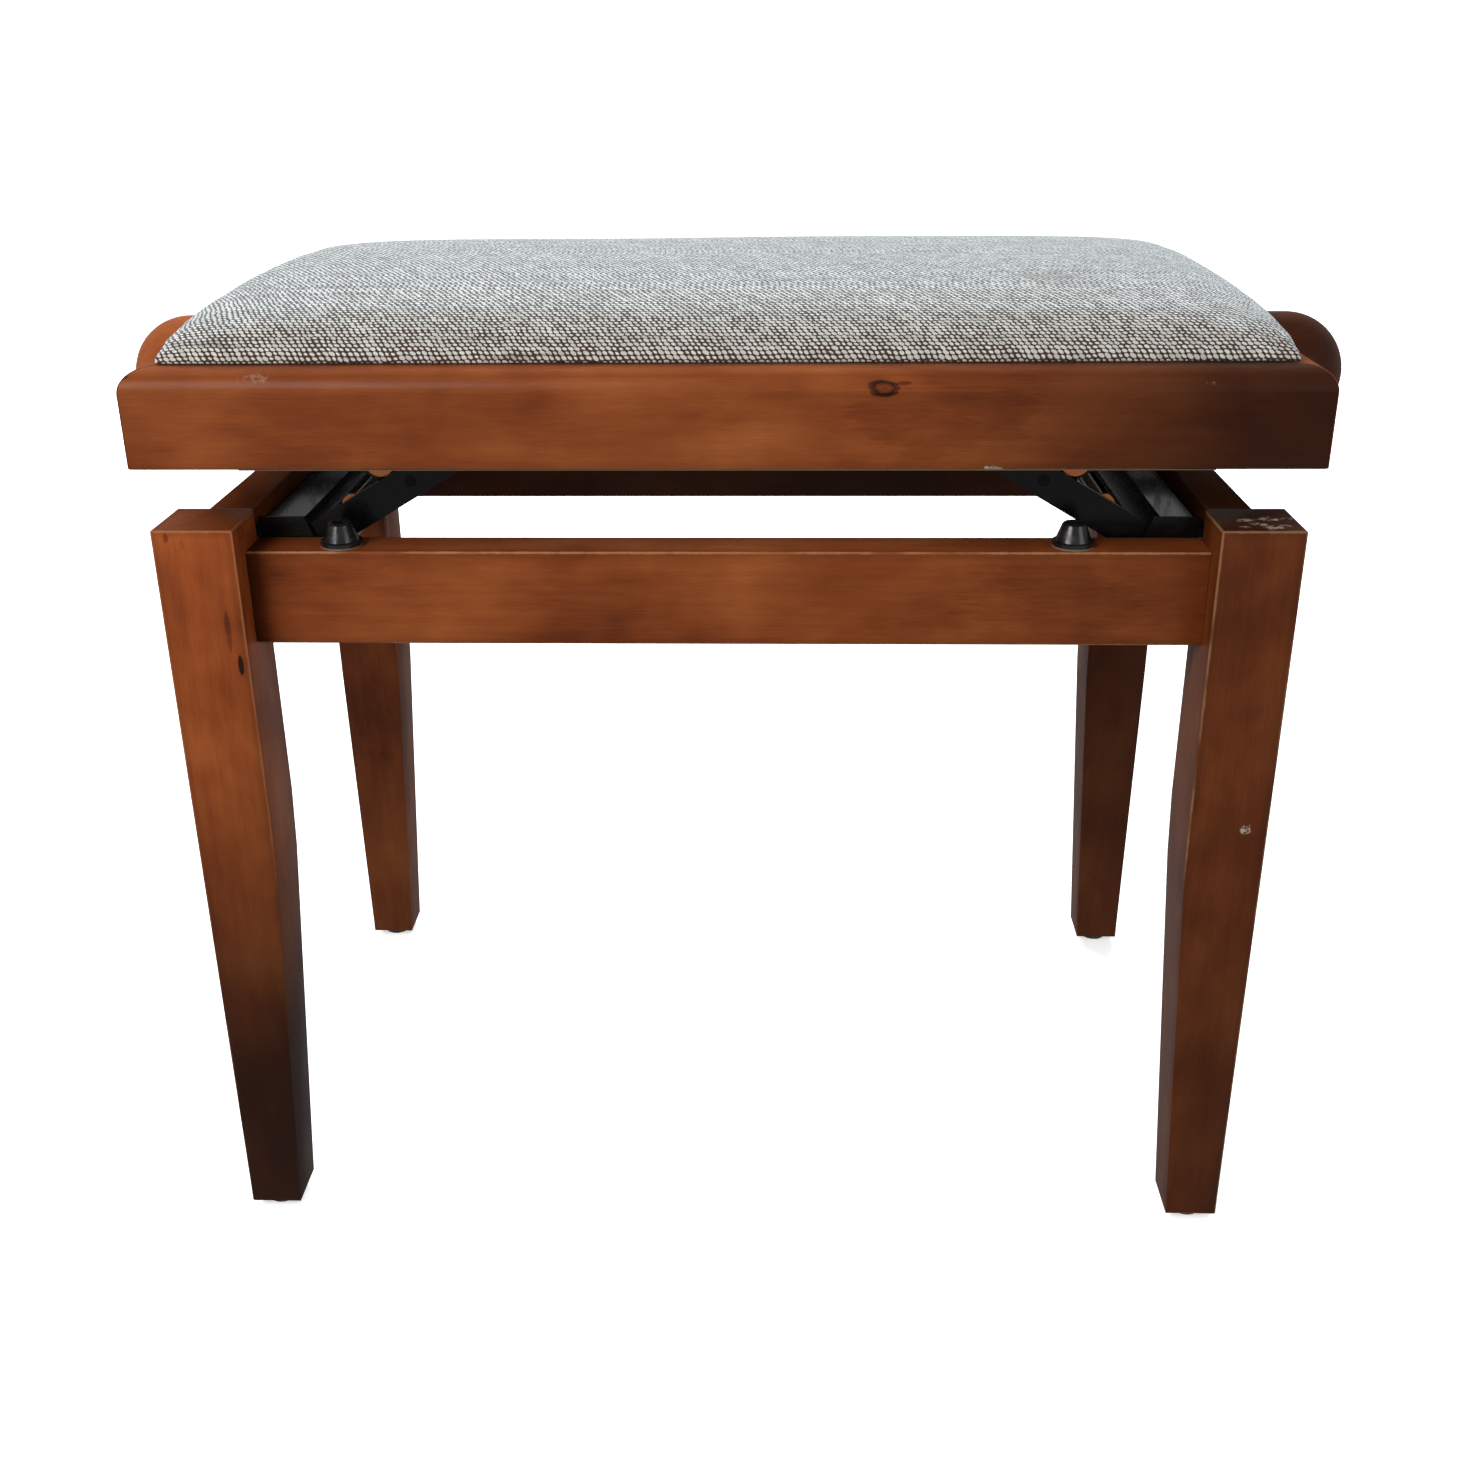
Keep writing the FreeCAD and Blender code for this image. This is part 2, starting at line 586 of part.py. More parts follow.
def nut():
    """A brass block with the spindle's thread through it and the cross bar above that."""
    owner = body("nut_blank")
    low, high = f"-{NUT_X}-nut_half", f"-{NUT_X}+nut_half"
    shape = outline(sketch(owner, "XZ", "nut_shape"), [
        (low, "nut_low"), (high, "nut_low"), (high, "nut_top-6"), (f"{high}-6", "nut_top"),
        (f"{low}+6", "nut_top"), (low, "nut_top-6")])
    pad(owner, shape, "2*nut_half", True)
    thread = rod("nut_bore", "spindle_radius+play", "4*nut_half",
                 (f"{low}-nut_half", "0", "spindle_height"), X_AXIS)
    across = rod("nut_cross_bore", "bar_radius", "4*nut_half",
                 (f"-{NUT_X}", "-2*nut_half", "seat_pivot"), Y_AXIS)
    return cut("left_nut", owner, thread, across)


def cross_bar():
    """The bar that the nut pushes along, with a collar just inside each arm."""
    bar = rod("bar_rod", "bar_radius", "2*bar_half", (f"-{NUT_X}", "-bar_half", "seat_pivot"), Y_AXIS)
    inner = "(arm_face-sheet-0.4)"
    ring = rod("bar_ring", "bar_radius+3", "4", (f"-{NUT_X}", f"-{inner}", "seat_pivot"), Y_AXIS)
    return fused("left_cross_bar", bar, ring, mirrored("bar_far_ring", ring, Y_AXIS))


# ---------------------------------------------------------------- arms and links
def strip_plate(label, face, half, start, end, holes):
    """A round-ended strip along +X from its pivot, with holes given as outlines or circles."""
    owner = body(label)
    corners = [(start, f"-({half})"), (end, f"-({half})"), (end, half), (start, half)]
    strip = pad(owner, outline(sketch(owner, "XZ", f"{label}_strip"), corners), "sheet")
    wide = number(half)
    strip = rounded(owner, strip, f"({half})-0.01",
                    lambda box: box.YLength > 1 and box.XLength < 0.01 and abs(box.ZMax) > wide - 1)
    drilled = sketch(owner, "XZ", f"{label}_holes")
    for centre, radius in holes:
        circle(drilled, centre, radius)
    owner.Tip = strip
    pocket(owner, drilled, True)
    return owner


def swung(item, pivot, face, up):
    """Lay a strip on its pivot, rising or falling towards the middle of the bench."""
    turned(item, Y_AXIS, f"{'-' if up else ''}{ARM_ANGLE}")
    return place(item, "-pivot_out", f"sheet-({face})", pivot)


def arm():
    """The long arm, pivoted on the tray and slotted at its upper end for the cross bar."""
    half = "arm_half"
    blank = strip_plate("arm_blank", "arm_face", half, f"-{half}", f"arm_long+slot_out+{half}", [
        (("0", "0"), "pin_radius+1+play"), (("arm_long/2", "0"), "pin_radius")])
    swung(blank, "base_pivot", "arm_face", True)
    slot = body("arm_slot")
    corners = [("arm_long-slot_in", "slot_rise-slot_half"), ("arm_long+slot_out", "slot_rise-slot_half"),
               ("arm_long+slot_out", "slot_rise+slot_half"), ("arm_long-slot_in", "slot_rise+slot_half")]
    long = pad(slot, outline(sketch(slot, "XZ", "slot_middle"), corners), "3*sheet")
    swung(slot, "base_pivot", "arm_face-sheet", True)
    slot.Tip = long
    ends = []
    for i, along in enumerate(("arm_long-slot_in", "arm_long+slot_out")):
        x = f"-pivot_out+({along})*cos({ARM_ANGLE})-slot_rise*sin({ARM_ANGLE})"
        z = f"base_pivot+({along})*sin({ARM_ANGLE})+slot_rise*cos({ARM_ANGLE})"
        ends.append(rod(f"slot_end_{i}", "slot_half", "4*sheet", (x, "-arm_face-sheet", z), Y_AXIS))
    return cut("left_front_arm", blank, slot, *ends)


def arm_point(along, rise):
    """World x and z of a point fixed to the left arm."""
    x = f"-pivot_out+({along})*cos({ARM_ANGLE})-({rise})*sin({ARM_ANGLE})"
    z = f"base_pivot+({along})*sin({ARM_ANGLE})+({rise})*cos({ARM_ANGLE})"
    return x, z


def arm_web():
    """A plate that joins the lower ends of the two arms."""
    owner = body("left_arm_web")
    corners = [("2", "arm_half-2.2"), ("36", "arm_half-2.2"), ("36", "arm_half-0.2"),
               ("2", "arm_half-0.2")]
    pad(owner, outline(sketch(owner, "XZ", "web_section"), corners), "2*(arm_face-sheet)", True)
    turned(owner, Y_AXIS, f"-{ARM_ANGLE}")
    return place(owner, "-pivot_out", "0", "base_pivot")


def tie_rod(label, x, z, reach, *collars):
    """A rod across the bench with a collar at each end; collars are (radius, near, far)."""
    middle = rod(f"{label}_rod", "tie_radius-0.5", f"2*({reach})", (x, f"-({reach})", z), Y_AXIS)
    rings = [stepped_pin(f"{label}_rings", x, z, *collars)]
    return fused(label, middle, *rings, mirrored(f"{label}_far", rings[0], Y_AXIS))


def mid_pins():
    """Brass studs on the arms that carry the links' lower ends."""
    x, z = arm_point("arm_long/2", "0")
    outer = "arm_face-sheet"
    stud = stepped_pin("mid_stud", x, z, ("pin_radius", "link_face-sheet-2", "arm_face"),
                       ("pin_radius+3", "link_face+0.3", outer),
                       ("pin_radius+5", "link_face-sheet-1.8", "link_face-sheet-0.3"))
    return grouped("left_mid_studs", stud, mirrored("mid_stud_far", stud, Y_AXIS))


def link():
    """The short link, from the seat bracket down to the middle of the arm."""
    half, long = "link_half", "arm_long/2"
    shift = f"mid_drop*sin({ARM_ANGLE})"
    fall = f"mid_drop*cos({ARM_ANGLE})"
    blank = strip_plate("left_front_link", "link_face", half, f"-{half}", f"{long}+{half}", [
        (("0", "0"), "pin_radius+play"),
        ((f"{long}+{shift}", f"-{fall}"), "mid_slack"),
        ((f"{long}-link_tie", "0"), "tie_radius-0.5")])
    return swung(blank, "seat_pivot", "link_face", False)


def link_point(along):
    """World x and z of a point on the left link's middle line."""
    return (f"-pivot_out+({along})*cos({ARM_ANGLE})", f"seat_pivot-({along})*sin({ARM_ANGLE})")


def build():
    """Make every sub-part and return them by node name."""
    nodes = []
    pegs = corner_dowels()
    left_pegs = grouped("left_pegs", pegs, mirrored("rear_pegs", pegs, Y_AXIS))
    dowels = grouped("leg_dowels", left_pegs, mirrored("right_pegs", left_pegs, X_AXIS))
    leg_front = leg(pegs)
    leg_rear = mirrored("rear_left_leg", leg_front, Y_AXIS)
    nodes += [dowels, leg_front, leg_rear, mirrored("front_right_leg", leg_front, X_AXIS),
              mirrored("rear_right_leg", leg_rear, X_AXIS)]
    nodes += aprons(dowels)
    for depth, end in (("front", -1), ("rear", 1)):
        for side, sign, reach in (("left", -1, "bumper_left"), ("right", 1, "bumper_right")):
            nodes.append(glide(f"{depth}_{side}_glide", sign, end))
            nodes.append(bumper(f"{depth}_{side}_bumper", f"{sign}*{reach}", f"{end}*bumper_row"))
    nodes += [base_pins(), tray_screws()]

    nodes += seat_frame()
    screws = board_screws()
    strip = cleat()
    nodes += [strip, mirrored("rear_cleat", strip, Y_AXIS), screws, seat_board(screws), cushion()]
    nodes += [seat_brackets(), bracket_screws(), seat_pins()]

    ring = thrust_collar()
    right_knob = knob()
    nodes += [spindle(), right_knob, mirrored("left_knob", right_knob, X_AXIS),
              grouped("thrust_collars", ring, mirrored("right_collar", ring, X_AXIS))]

    front_arm, front_link = arm(), link()
    arm_tie_x, arm_tie_z = arm_point("arm_tie", "arm_tie_rise")
    link_tie_x, link_tie_z = link_point("arm_long/2-link_tie")
    left_side = [
        tray(), bush(), nut(), cross_bar(), front_arm,
        mirrored("left_rear_arm", front_arm, Y_AXIS), arm_web(), mid_pins(),
        tie_rod("left_arm_tie", arm_tie_x, arm_tie_z, "arm_face-sheet",
                ("tie_radius+2", "arm_face-sheet-2.5", "arm_face-sheet")),
        front_link, mirrored("left_rear_link", front_link, Y_AXIS),
        tie_rod("left_link_tie", link_tie_x, link_tie_z, "link_face",
                ("collar_radius", "link_face", "link_face+2.8")),
    ]
    nodes += left_side
    nodes += [mirrored(item.Label.replace("left", "right"), item, X_AXIS) for item in left_side]
    return nodes


def checked(nodes):
    """Stop if any object failed, or any sub-part's shape is missing or invalid."""
    doc.recompute()
    for item in doc.Objects:
        if {"Invalid", "Error"} & set(item.State):
            raise RuntimeError(f"{item.Label} is {item.State}")
    for item in nodes:
        if item.Shape.isNull() or not item.Shape.isValid() or not item.Shape.Solids:
            raise RuntimeError(f"{item.Label} has no valid shape")
    if len({item.Label for item in nodes}) != len(nodes):
        raise RuntimeError("two sub-parts share a name")
    return nodes


os.makedirs("parts", exist_ok=True)
for old in os.listdir("parts"):
    if old.endswith(".step"):
        os.remove(os.path.join("parts", old))
for item in checked(build()):
    item.Shape.exportStep(os.path.join("parts", f"{item.Label}.step"))
    print(f"{item.Label}: {len(item.Shape.Solids)} solid(s), {item.Shape.Volume / 1000:.2f} cm3")
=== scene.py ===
# %% [markdown]
# # A piano bench with a hand-wound seat
# The bench is a stained wooden base, a seat frame with a woven cushion, and a twin-thread spindle
# that lifts the seat on black steel arms. The solid model already has every piece at its real size.
# This lesson gives each piece the surface of the real one, and remakes the few pieces whose shape
# is softer or finer than the solid model holds.

# %% Load the frame
import bpy
import bmesh
import json
import math
import numpy as np
from mathutils import Matrix, Vector, noise


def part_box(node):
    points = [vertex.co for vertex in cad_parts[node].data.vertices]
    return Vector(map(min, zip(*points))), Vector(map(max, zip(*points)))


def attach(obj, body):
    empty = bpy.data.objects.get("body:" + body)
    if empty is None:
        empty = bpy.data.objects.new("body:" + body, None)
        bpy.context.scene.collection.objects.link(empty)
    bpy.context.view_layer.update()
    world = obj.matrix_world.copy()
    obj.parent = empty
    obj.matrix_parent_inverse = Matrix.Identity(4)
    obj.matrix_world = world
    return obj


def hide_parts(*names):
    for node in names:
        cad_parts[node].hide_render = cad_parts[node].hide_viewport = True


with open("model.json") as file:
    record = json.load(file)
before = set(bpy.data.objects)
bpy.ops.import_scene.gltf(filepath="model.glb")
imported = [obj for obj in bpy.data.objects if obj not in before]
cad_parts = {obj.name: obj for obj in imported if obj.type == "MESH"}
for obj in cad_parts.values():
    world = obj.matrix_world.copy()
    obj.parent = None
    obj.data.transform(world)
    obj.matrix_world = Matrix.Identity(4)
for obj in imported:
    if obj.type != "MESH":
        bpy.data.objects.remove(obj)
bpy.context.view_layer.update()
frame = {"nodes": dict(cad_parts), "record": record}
nodes = frame["nodes"]

# %% [markdown]
# ## Camera
# The bench is seen from in front, a little to the right of its middle and from above the seat, at
# about the distance of someone standing by it. Near edges of the legs spread apart as they rise,
# which takes a camera close to the bench. Its direction is built from three angles, so that each
# one can be read on its own: the turn, the downward tilt and the small lean.

# %% Place the camera
def camera_matrix(place, turn, tilt, lean):
    turn, tilt, lean = (math.radians(a) for a in (turn, tilt, lean))
    ahead = Vector((math.sin(turn) * math.cos(tilt), math.cos(turn) * math.cos(tilt),
                    -math.sin(tilt)))
    level = Vector((math.cos(turn), -math.sin(turn), 0))
    upright = level.cross(ahead)
    right = math.cos(lean) * level + math.sin(lean) * upright
    up = -math.sin(lean) * level + math.cos(lean) * upright
    return Matrix.Translation(place) @ Matrix((right, up, -ahead)).transposed().to_4x4()


camera = bpy.data.objects.new("camera", bpy.data.cameras.new("camera"))
bpy.context.scene.collection.objects.link(camera)
camera.matrix_world = camera_matrix(Vector((0.02856, -0.91020, 0.62469)), -2.041, 23.367, -0.552)
camera.data.lens = 40.177
camera.data.sensor_width = 36
camera.data.clip_start = 0.05
bpy.context.scene.camera = camera
print("camera at", tuple(round(v, 3) for v in camera.matrix_world.translation))

# %% [markdown]
# ## Floor and light
# The bench stands in a bowl of white paper that glows a little by itself, so it has no horizon and
# only a faint shadow. Most light is a wide soft lamp high on the left, as from a big window, and a
# weak one fills the right side. A long cool lamp behind and above the bench gives the top of the
# cushion and the tops of the legs their bluish sheen. The paper is kept out of the reflections,
# which would otherwise wash the colour out of the lacquer.

# %% Lay the floor and hang the lamps
def add_object(name, data):
    item = bpy.data.objects.new(name, data)
    bpy.context.scene.collection.objects.link(item)
    return item


def mesh_object(name, points, faces):
    mesh = bpy.data.meshes.new(name)
    mesh.from_pydata([tuple(p) for p in points], [], [tuple(f) for f in faces])
    mesh.update()
    return add_object(name, mesh)


def smooth(item):
    for face in item.data.polygons:
        face.use_smooth = True
    return item


def points_of(item):
    return np.array([v.co for v in item.data.vertices])


def lamp(name, place, target, size, watts, colour):
    data = bpy.data.lights.new(name, "AREA")
    data.shape = "RECTANGLE"
    data.size, data.size_y = size
    data.energy = watts
    data.color = colour
    item = add_object(name, data)
    item.location = place
    aim = Vector(target) - Vector(place)
    item.rotation_euler = aim.to_track_quat("-Z", "Y").to_euler()
    return item


def paper_bowl(name, radius=6.0, curve=1.5, height=5.0, sides=96):
    """A round floor that curves up into a wall: rings of points joined by faces."""
    section = [(radius * t, 0.0) for t in (0.25, 0.5, 0.75)]
    section += [(radius + curve * math.sin(t), curve - curve * math.cos(t))
                for t in np.linspace(0, math.pi / 2, 9)]
    section.append((radius + curve, height))
    points = [(0, 0, 0)]
    for r, z in section:
        points += [(r * math.cos(a), r * math.sin(a), z)
                   for a in np.linspace(0, 2 * math.pi, sides, endpoint=False)]
    faces = [(0, 1 + k, 1 + (k + 1) % sides) for k in range(sides)]
    for i in range(len(section) - 1):
        a, b = 1 + i * sides, 1 + (i + 1) * sides
        faces += [(a + k, b + k, b + (k + 1) % sides, a + (k + 1) % sides) for k in range(sides)]
    return smooth(mesh_object(name, points, faces))


floor = paper_bowl("floor")
floor.visible_diffuse = False
floor.visible_glossy = False

lamp("window", (-1.5, -1.7, 1.9), (0, 0, 0.35), (1.4, 1.2), 47, (1.0, 0.97, 0.93))
lamp("fill", (1.9, -1.6, 1.1), (0, 0, 0.3), (1.2, 1.2), 7, (1.0, 0.96, 0.92))
back = lamp("back_window", (-0.2, 2.2, 2.0), (0, 0, 0.45), (3.2, 1.1), 150, (0.80, 0.91, 1.0))
back.visible_glossy = False

sky = bpy.data.worlds.new("studio")
bpy.context.scene.world = sky
sky.use_nodes = True
sky.node_tree.nodes["Background"].inputs["Color"].default_value = (0.97, 0.985, 1.0, 1)
sky.node_tree.nodes["Background"].inputs["Strength"].default_value = 0.34
bpy.context.scene.view_settings.view_transform = "Standard"

# %% [markdown]
# ## Writing shaders as sums
# A procedural finish is arithmetic on patterns. Wiring dozens of Math nodes by hand hides that, so
# the `Value` class wraps one socket and turns `+`, `-`, `*` and `/` into nodes. Numbers alone stay
# in Python. Colours and positions use Vector Math, because Math would turn them grey. Every other
# node comes from `Finish.node`, which sets its options first and then fills its sockets.

# %% The Value and Finish classes
class Value:
    def __init__(self, finish, socket):
        self.finish, self.socket = finish, socket

    def is_vector(self):
        return self.socket.type in ("VECTOR", "RGBA")

    def combine(self, operation, other, swapped=False):
        pair = [other, self] if swapped else [self, other]
        vector = any(isinstance(p, Value) and p.is_vector() for p in pair)
        kind = "ShaderNodeVectorMath" if vector else "ShaderNodeMath"
        if vector:
            pair = [(p,) * 3 if isinstance(p, (int, float)) else p for p in pair]
        return self.finish.node(kind, {"operation": operation}, {0: pair[0], 1: pair[1]})

    def __add__(self, other): return self.combine("ADD", other)
    def __radd__(self, other): return self.combine("ADD", other, True)
    def __sub__(self, other): return self.combine("SUBTRACT", other)
    def __rsub__(self, other): return self.combine("SUBTRACT", other, True)
    def __mul__(self, other): return self.combine("MULTIPLY", other)
    def __rmul__(self, other): return self.combine("MULTIPLY", other, True)
    def __truediv__(self, other): return self.combine("DIVIDE", other)
    def __rtruediv__(self, other): return self.combine("DIVIDE", other, True)
    def __abs__(self): return self.apply("ABSOLUTE")

    def apply(self, operation, other=0.0):
        """A Math node that takes one or two numbers, such as SIGN or MINIMUM."""
        return self.finish.node("ShaderNodeMath", {"operation": operation}, {0: self, 1: other})

    def part(self, axis):
        split = self.finish.node("ShaderNodeSeparateXYZ", {}, {"Vector": self}, whole=True)
        return Value(self.finish, split.outputs[axis])


class Finish:
    """One material: its nodes, and its Principled shader."""
    def __init__(self, name, **settings):
        self.material = bpy.data.materials.new(name)
        self.material.use_nodes = True
        self.tree = self.material.node_tree
        self.shader = self.tree.nodes["Principled BSDF"]
        self.feed(settings)

    def feed(self, settings):
        for socket, value in settings.items():
            self.fill(self.shader.inputs[socket.replace("_", " ")], value)

    def fill(self, socket, value):
        if isinstance(value, Value):
            self.tree.links.new(value.socket, socket)
        elif isinstance(value, tuple) and socket.type == "RGBA" and len(value) == 3:
            socket.default_value = (*value, 1)
        else:
            socket.default_value = value

    def node(self, kind, options=None, sockets=None, output=0, whole=False):
        item = self.tree.nodes.new(kind)
        for option, value in (options or {}).items():
            if option == "stops":
                for i, (place, colour) in enumerate(value):
                    spot = item.color_ramp.elements
                    spot = spot[i] if i < 2 else spot.new(place)
                    spot.position, spot.color = place, (*colour, 1)
            else:
                setattr(item, option, value)
        for socket, value in (sockets or {}).items():
            self.fill(item.inputs[socket], value)
        return item if whole else Value(self, item.outputs[output])

    def place(self):
        """Where a point of the surface is, in the bench's own metres."""
        return self.node("ShaderNodeTexCoord", output="Object")

    def vector(self, x, y, z):
        return self.node("ShaderNodeCombineXYZ", {}, {0: x, 1: y, 2: z})

    def cloud(self, place, scale, detail=2.0, roughness=0.5, distortion=0.0):
        return self.node("ShaderNodeTexNoise", {}, {"Vector": place, "Scale": scale,
                         "Detail": detail, "Roughness": roughness, "Distortion": distortion})

    def chance(self, place):
        return self.node("ShaderNodeTexWhiteNoise", {"noise_dimensions": "3D"}, {"Vector": place})

    def between(self, value, low, high, start=0.0, end=1.0):
        return self.node("ShaderNodeMapRange", {"interpolation_type": "SMOOTHSTEP"}, {
            "Value": value, "From Min": low, "From Max": high, "To Min": start, "To Max": end})

    def ramp(self, value, *stops):
        return self.node("ShaderNodeValToRGB", {"stops": stops}, {"Fac": value})

    def mix(self, amount, first, second):
        return self.node("ShaderNodeMix", {"data_type": "RGBA"}, {
            0: amount, 6: first, 7: second}, output=2)

    def distance(self, place, centre):
        return self.node("ShaderNodeVectorMath", {"operation": "DISTANCE"}, {
            0: place, 1: tuple(centre)}, output="Value")

    def bump(self, height, depth, strength=1.0):
        self.feed({"Normal": self.node("ShaderNodeBump", {}, {
            "Height": height, "Distance": depth, "Strength": strength})})
        return self

    def give(self, *pieces):
        for piece in pieces:
            piece.data.materials.clear()
            piece.data.materials.append(self.material)
        return self


paper = Finish("white_paper", Base_Color=(0.9, 0.9, 0.9), Roughness=0.9, Specular_IOR_Level=0.05,
               Emission_Strength=1.0)
far = paper.between(paper.distance(paper.place(), (0, 0, 0)), 0.8, 4.0)
paper.feed({"Emission Color": paper.mix(far, (0.55, 0.55, 0.55), (1.0, 1.0, 1.0))})
paper.give(floor)
print("first finish:", paper.material.name)

# %% [markdown]
# ## Softened edges
# A cabinet maker breaks every sharp edge with sandpaper, and the lacquer pulls back from it a
# little. That soft edge catches a thin line of light, and without it wood looks like plastic. A
# shader can fake the line, but a real bevel is right in the outline too. So the solid model's
# boards are copied, their flat faces joined again, and their edges bevelled.

# %% A board with eased edges
def softened(node, width, segments=3):
    source = nodes[node]
    mesh = source.data.copy()
    work = bmesh.new()
    work.from_mesh(mesh)
    bmesh.ops.remove_doubles(work, verts=work.verts, dist=1e-5)
    bmesh.ops.dissolve_limit(work, angle_limit=math.radians(1.5), verts=work.verts,
                             edges=work.edges)
    work.to_mesh(mesh)
    work.free()
    board = add_object(f"{node}_eased", mesh)
    bevel = board.modifiers.new("eased", "BEVEL")
    bevel.width = width
    bevel.segments = segments
    bevel.limit_method = "ANGLE"
    bevel.angle_limit = math.radians(28)
    bevel.harden_normals = True
    apply_modifiers(board)
    smooth(board).data.set_sharp_from_angle(angle=math.radians(35))
    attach(board, body_of[node])
    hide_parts(node)
    return board


def apply_modifiers(item):
    graph = bpy.context.evaluated_depsgraph_get()
    finished = bpy.data.meshes.new_from_object(item.evaluated_get(graph))
    item.modifiers.clear()
    item.data = finished


body_of = {node: body for body, members in frame["record"]["behaviour"]["bodies"].items()
           for node in members}
legs = ["front_left_leg", "front_right_leg", "rear_left_leg", "rear_right_leg"]
aprons = ["front_apron", "rear_apron", "left_apron", "right_apron"]
rails = ["front_seat_rail", "rear_seat_rail", "left_seat_rail", "right_seat_rail"]
LEG_EASE, BOARD_EASE = 0.0013, 0.0010
boards = {node: softened(node, LEG_EASE if node in legs else BOARD_EASE)
          for node in legs + aprons + rails}
print("eased boards:", len(boards))

# %% [markdown]
# ## Wood grain
# The wood is a pale close-grained timber stained walnut brown and sprayed with satin lacquer. The
# stain soaks in unevenly, so broad orange and brown clouds lie over the grain. The grain itself is
# faint: long thin streaks, and tiny dark pores. A picture of wood would repeat and would not follow
# each board, so noise that is stretched along the board draws them all. One number, the tone, adds
# them up, and a knot is a place where the tone drops.

# %% Grain and knots
RING_RADIANS = 40


def along(grain, lengthways):
    """The scale factors that stretch a pattern along one axis of the board."""
    return tuple(lengthways if axis == grain else 1.0 for axis in "xyz")


def grain_patterns(finish, place, grain):
    """Four stretched noises, from broad clouds down to fine pores."""
    clouds = finish.cloud(place * along(grain, 0.60), 14, 3, 0.5, 0.3)
    blotch = finish.cloud(place * along(grain, 0.55), 42, 3, 0.5, 0.4)
    streaks = finish.cloud(place * along(grain, 0.05), 260, 4, 0.60)
    pores = finish.cloud(place * along(grain, 0.05), 1700, 2, 0.5)
    return clouds, blotch, streaks, pores


def knotted(finish, tone, place, grain, unevenness, knots):
    """Darken the tone around each knot: faint rings, and a heart that may be hollow."""
    for centre, size, strength, stretch, hollow in knots:
        squeeze = along(grain, stretch)
        near = finish.distance(place * squeeze, Vector(centre) * Vector(squeeze))
        near = near + unevenness * (size * 0.7)
        halo = finish.between(near, size, size * 0.35)
        heart = finish.between(near, size * 0.60, size * 0.44)
        heart = heart - finish.between(near, size * 0.34, size * 0.18) * hollow
        rings = (near * (RING_RADIANS / size)).apply("SINE") * 0.5 + 0.5
        tone = tone - halo * rings * (0.055 * strength) - heart * (0.20 * strength * strength)
    return tone


print("stretch along x:", along("x", 0.05))

# %% [markdown]
# ## Stain and lacquer
# A colour ramp turns the tone into stain, from nearly black to orange. Its two end stops are given
# first, then those between them. Where hands and boxes rub the corners, the stain is thinner and
# the wood shows paler, and a little dirt gathers just beside it. How near a point is to an edge
# comes from its distances to the faces of the board's box, because the boards are nearly boxes. A
# few scuffs show the bare wood, torn into flakes by one more noise.

# %% The stained wood finish
STAIN = ((0.24, (0.020, 0.0050, 0.0018)), (0.78, (0.47, 0.155, 0.043)),
         (0.37, (0.140, 0.0290, 0.0066)), (0.48, (0.232, 0.0540, 0.0122)),
         (0.58, (0.310, 0.0820, 0.0200)))
WORN_WOOD = (0.50, 0.26, 0.125)
EDGE_DIRT = (0.028, 0.011, 0.006)
TORN_WOOD = (0.50, 0.44, 0.37)


def corner_nearness(place, low, high):
    """How far a point is from the nearest edge of the board's box, in metres."""
    gaps = []
    for i, axis in enumerate("XYZ"):
        value = place.part(axis)
        gaps.append((value - low[i]).apply("MINIMUM", high[i] - value))
    a, b, c = gaps
    smaller, larger = a.apply("MINIMUM", b), a.apply("MAXIMUM", b)
    return smaller.apply("MAXIMUM", larger.apply("MINIMUM", c))


def with_painted_light_and_shade(finish, colour, place, depth, painted_shade_fades):
    """Multiply the colour by the board's painted light and shade: its depth, and each fade along an
    axis.
    """
    for axis, start, end, factor in painted_shade_fades:
        depth = depth * finish.between(place.part(axis), start, end, 1.0, factor)
    return colour * (finish.vector(depth, depth, depth) if painted_shade_fades else (depth, depth, depth))


def scuffed(finish, colour, place, grain, crumbs, scuffs):
    """Lay a flaky pale patch at each scuff."""
    shape = (1.0, 1.9, 1.0) if grain == "z" else (0.5, 1.6, 1.6)
    torn = finish.between(finish.cloud(place + 3.1, 330, 3, 0.7), 0.44, 0.53)
    for centre, size, strength in scuffs:
        near = finish.distance(place * shape, Vector(centre) * Vector(shape))
        scuff = finish.between(near + (crumbs - 0.5) * (size * 1.8), size, size * 0.6) * torn
        colour = finish.mix(scuff * strength, colour, TORN_WOOD)
    return colour


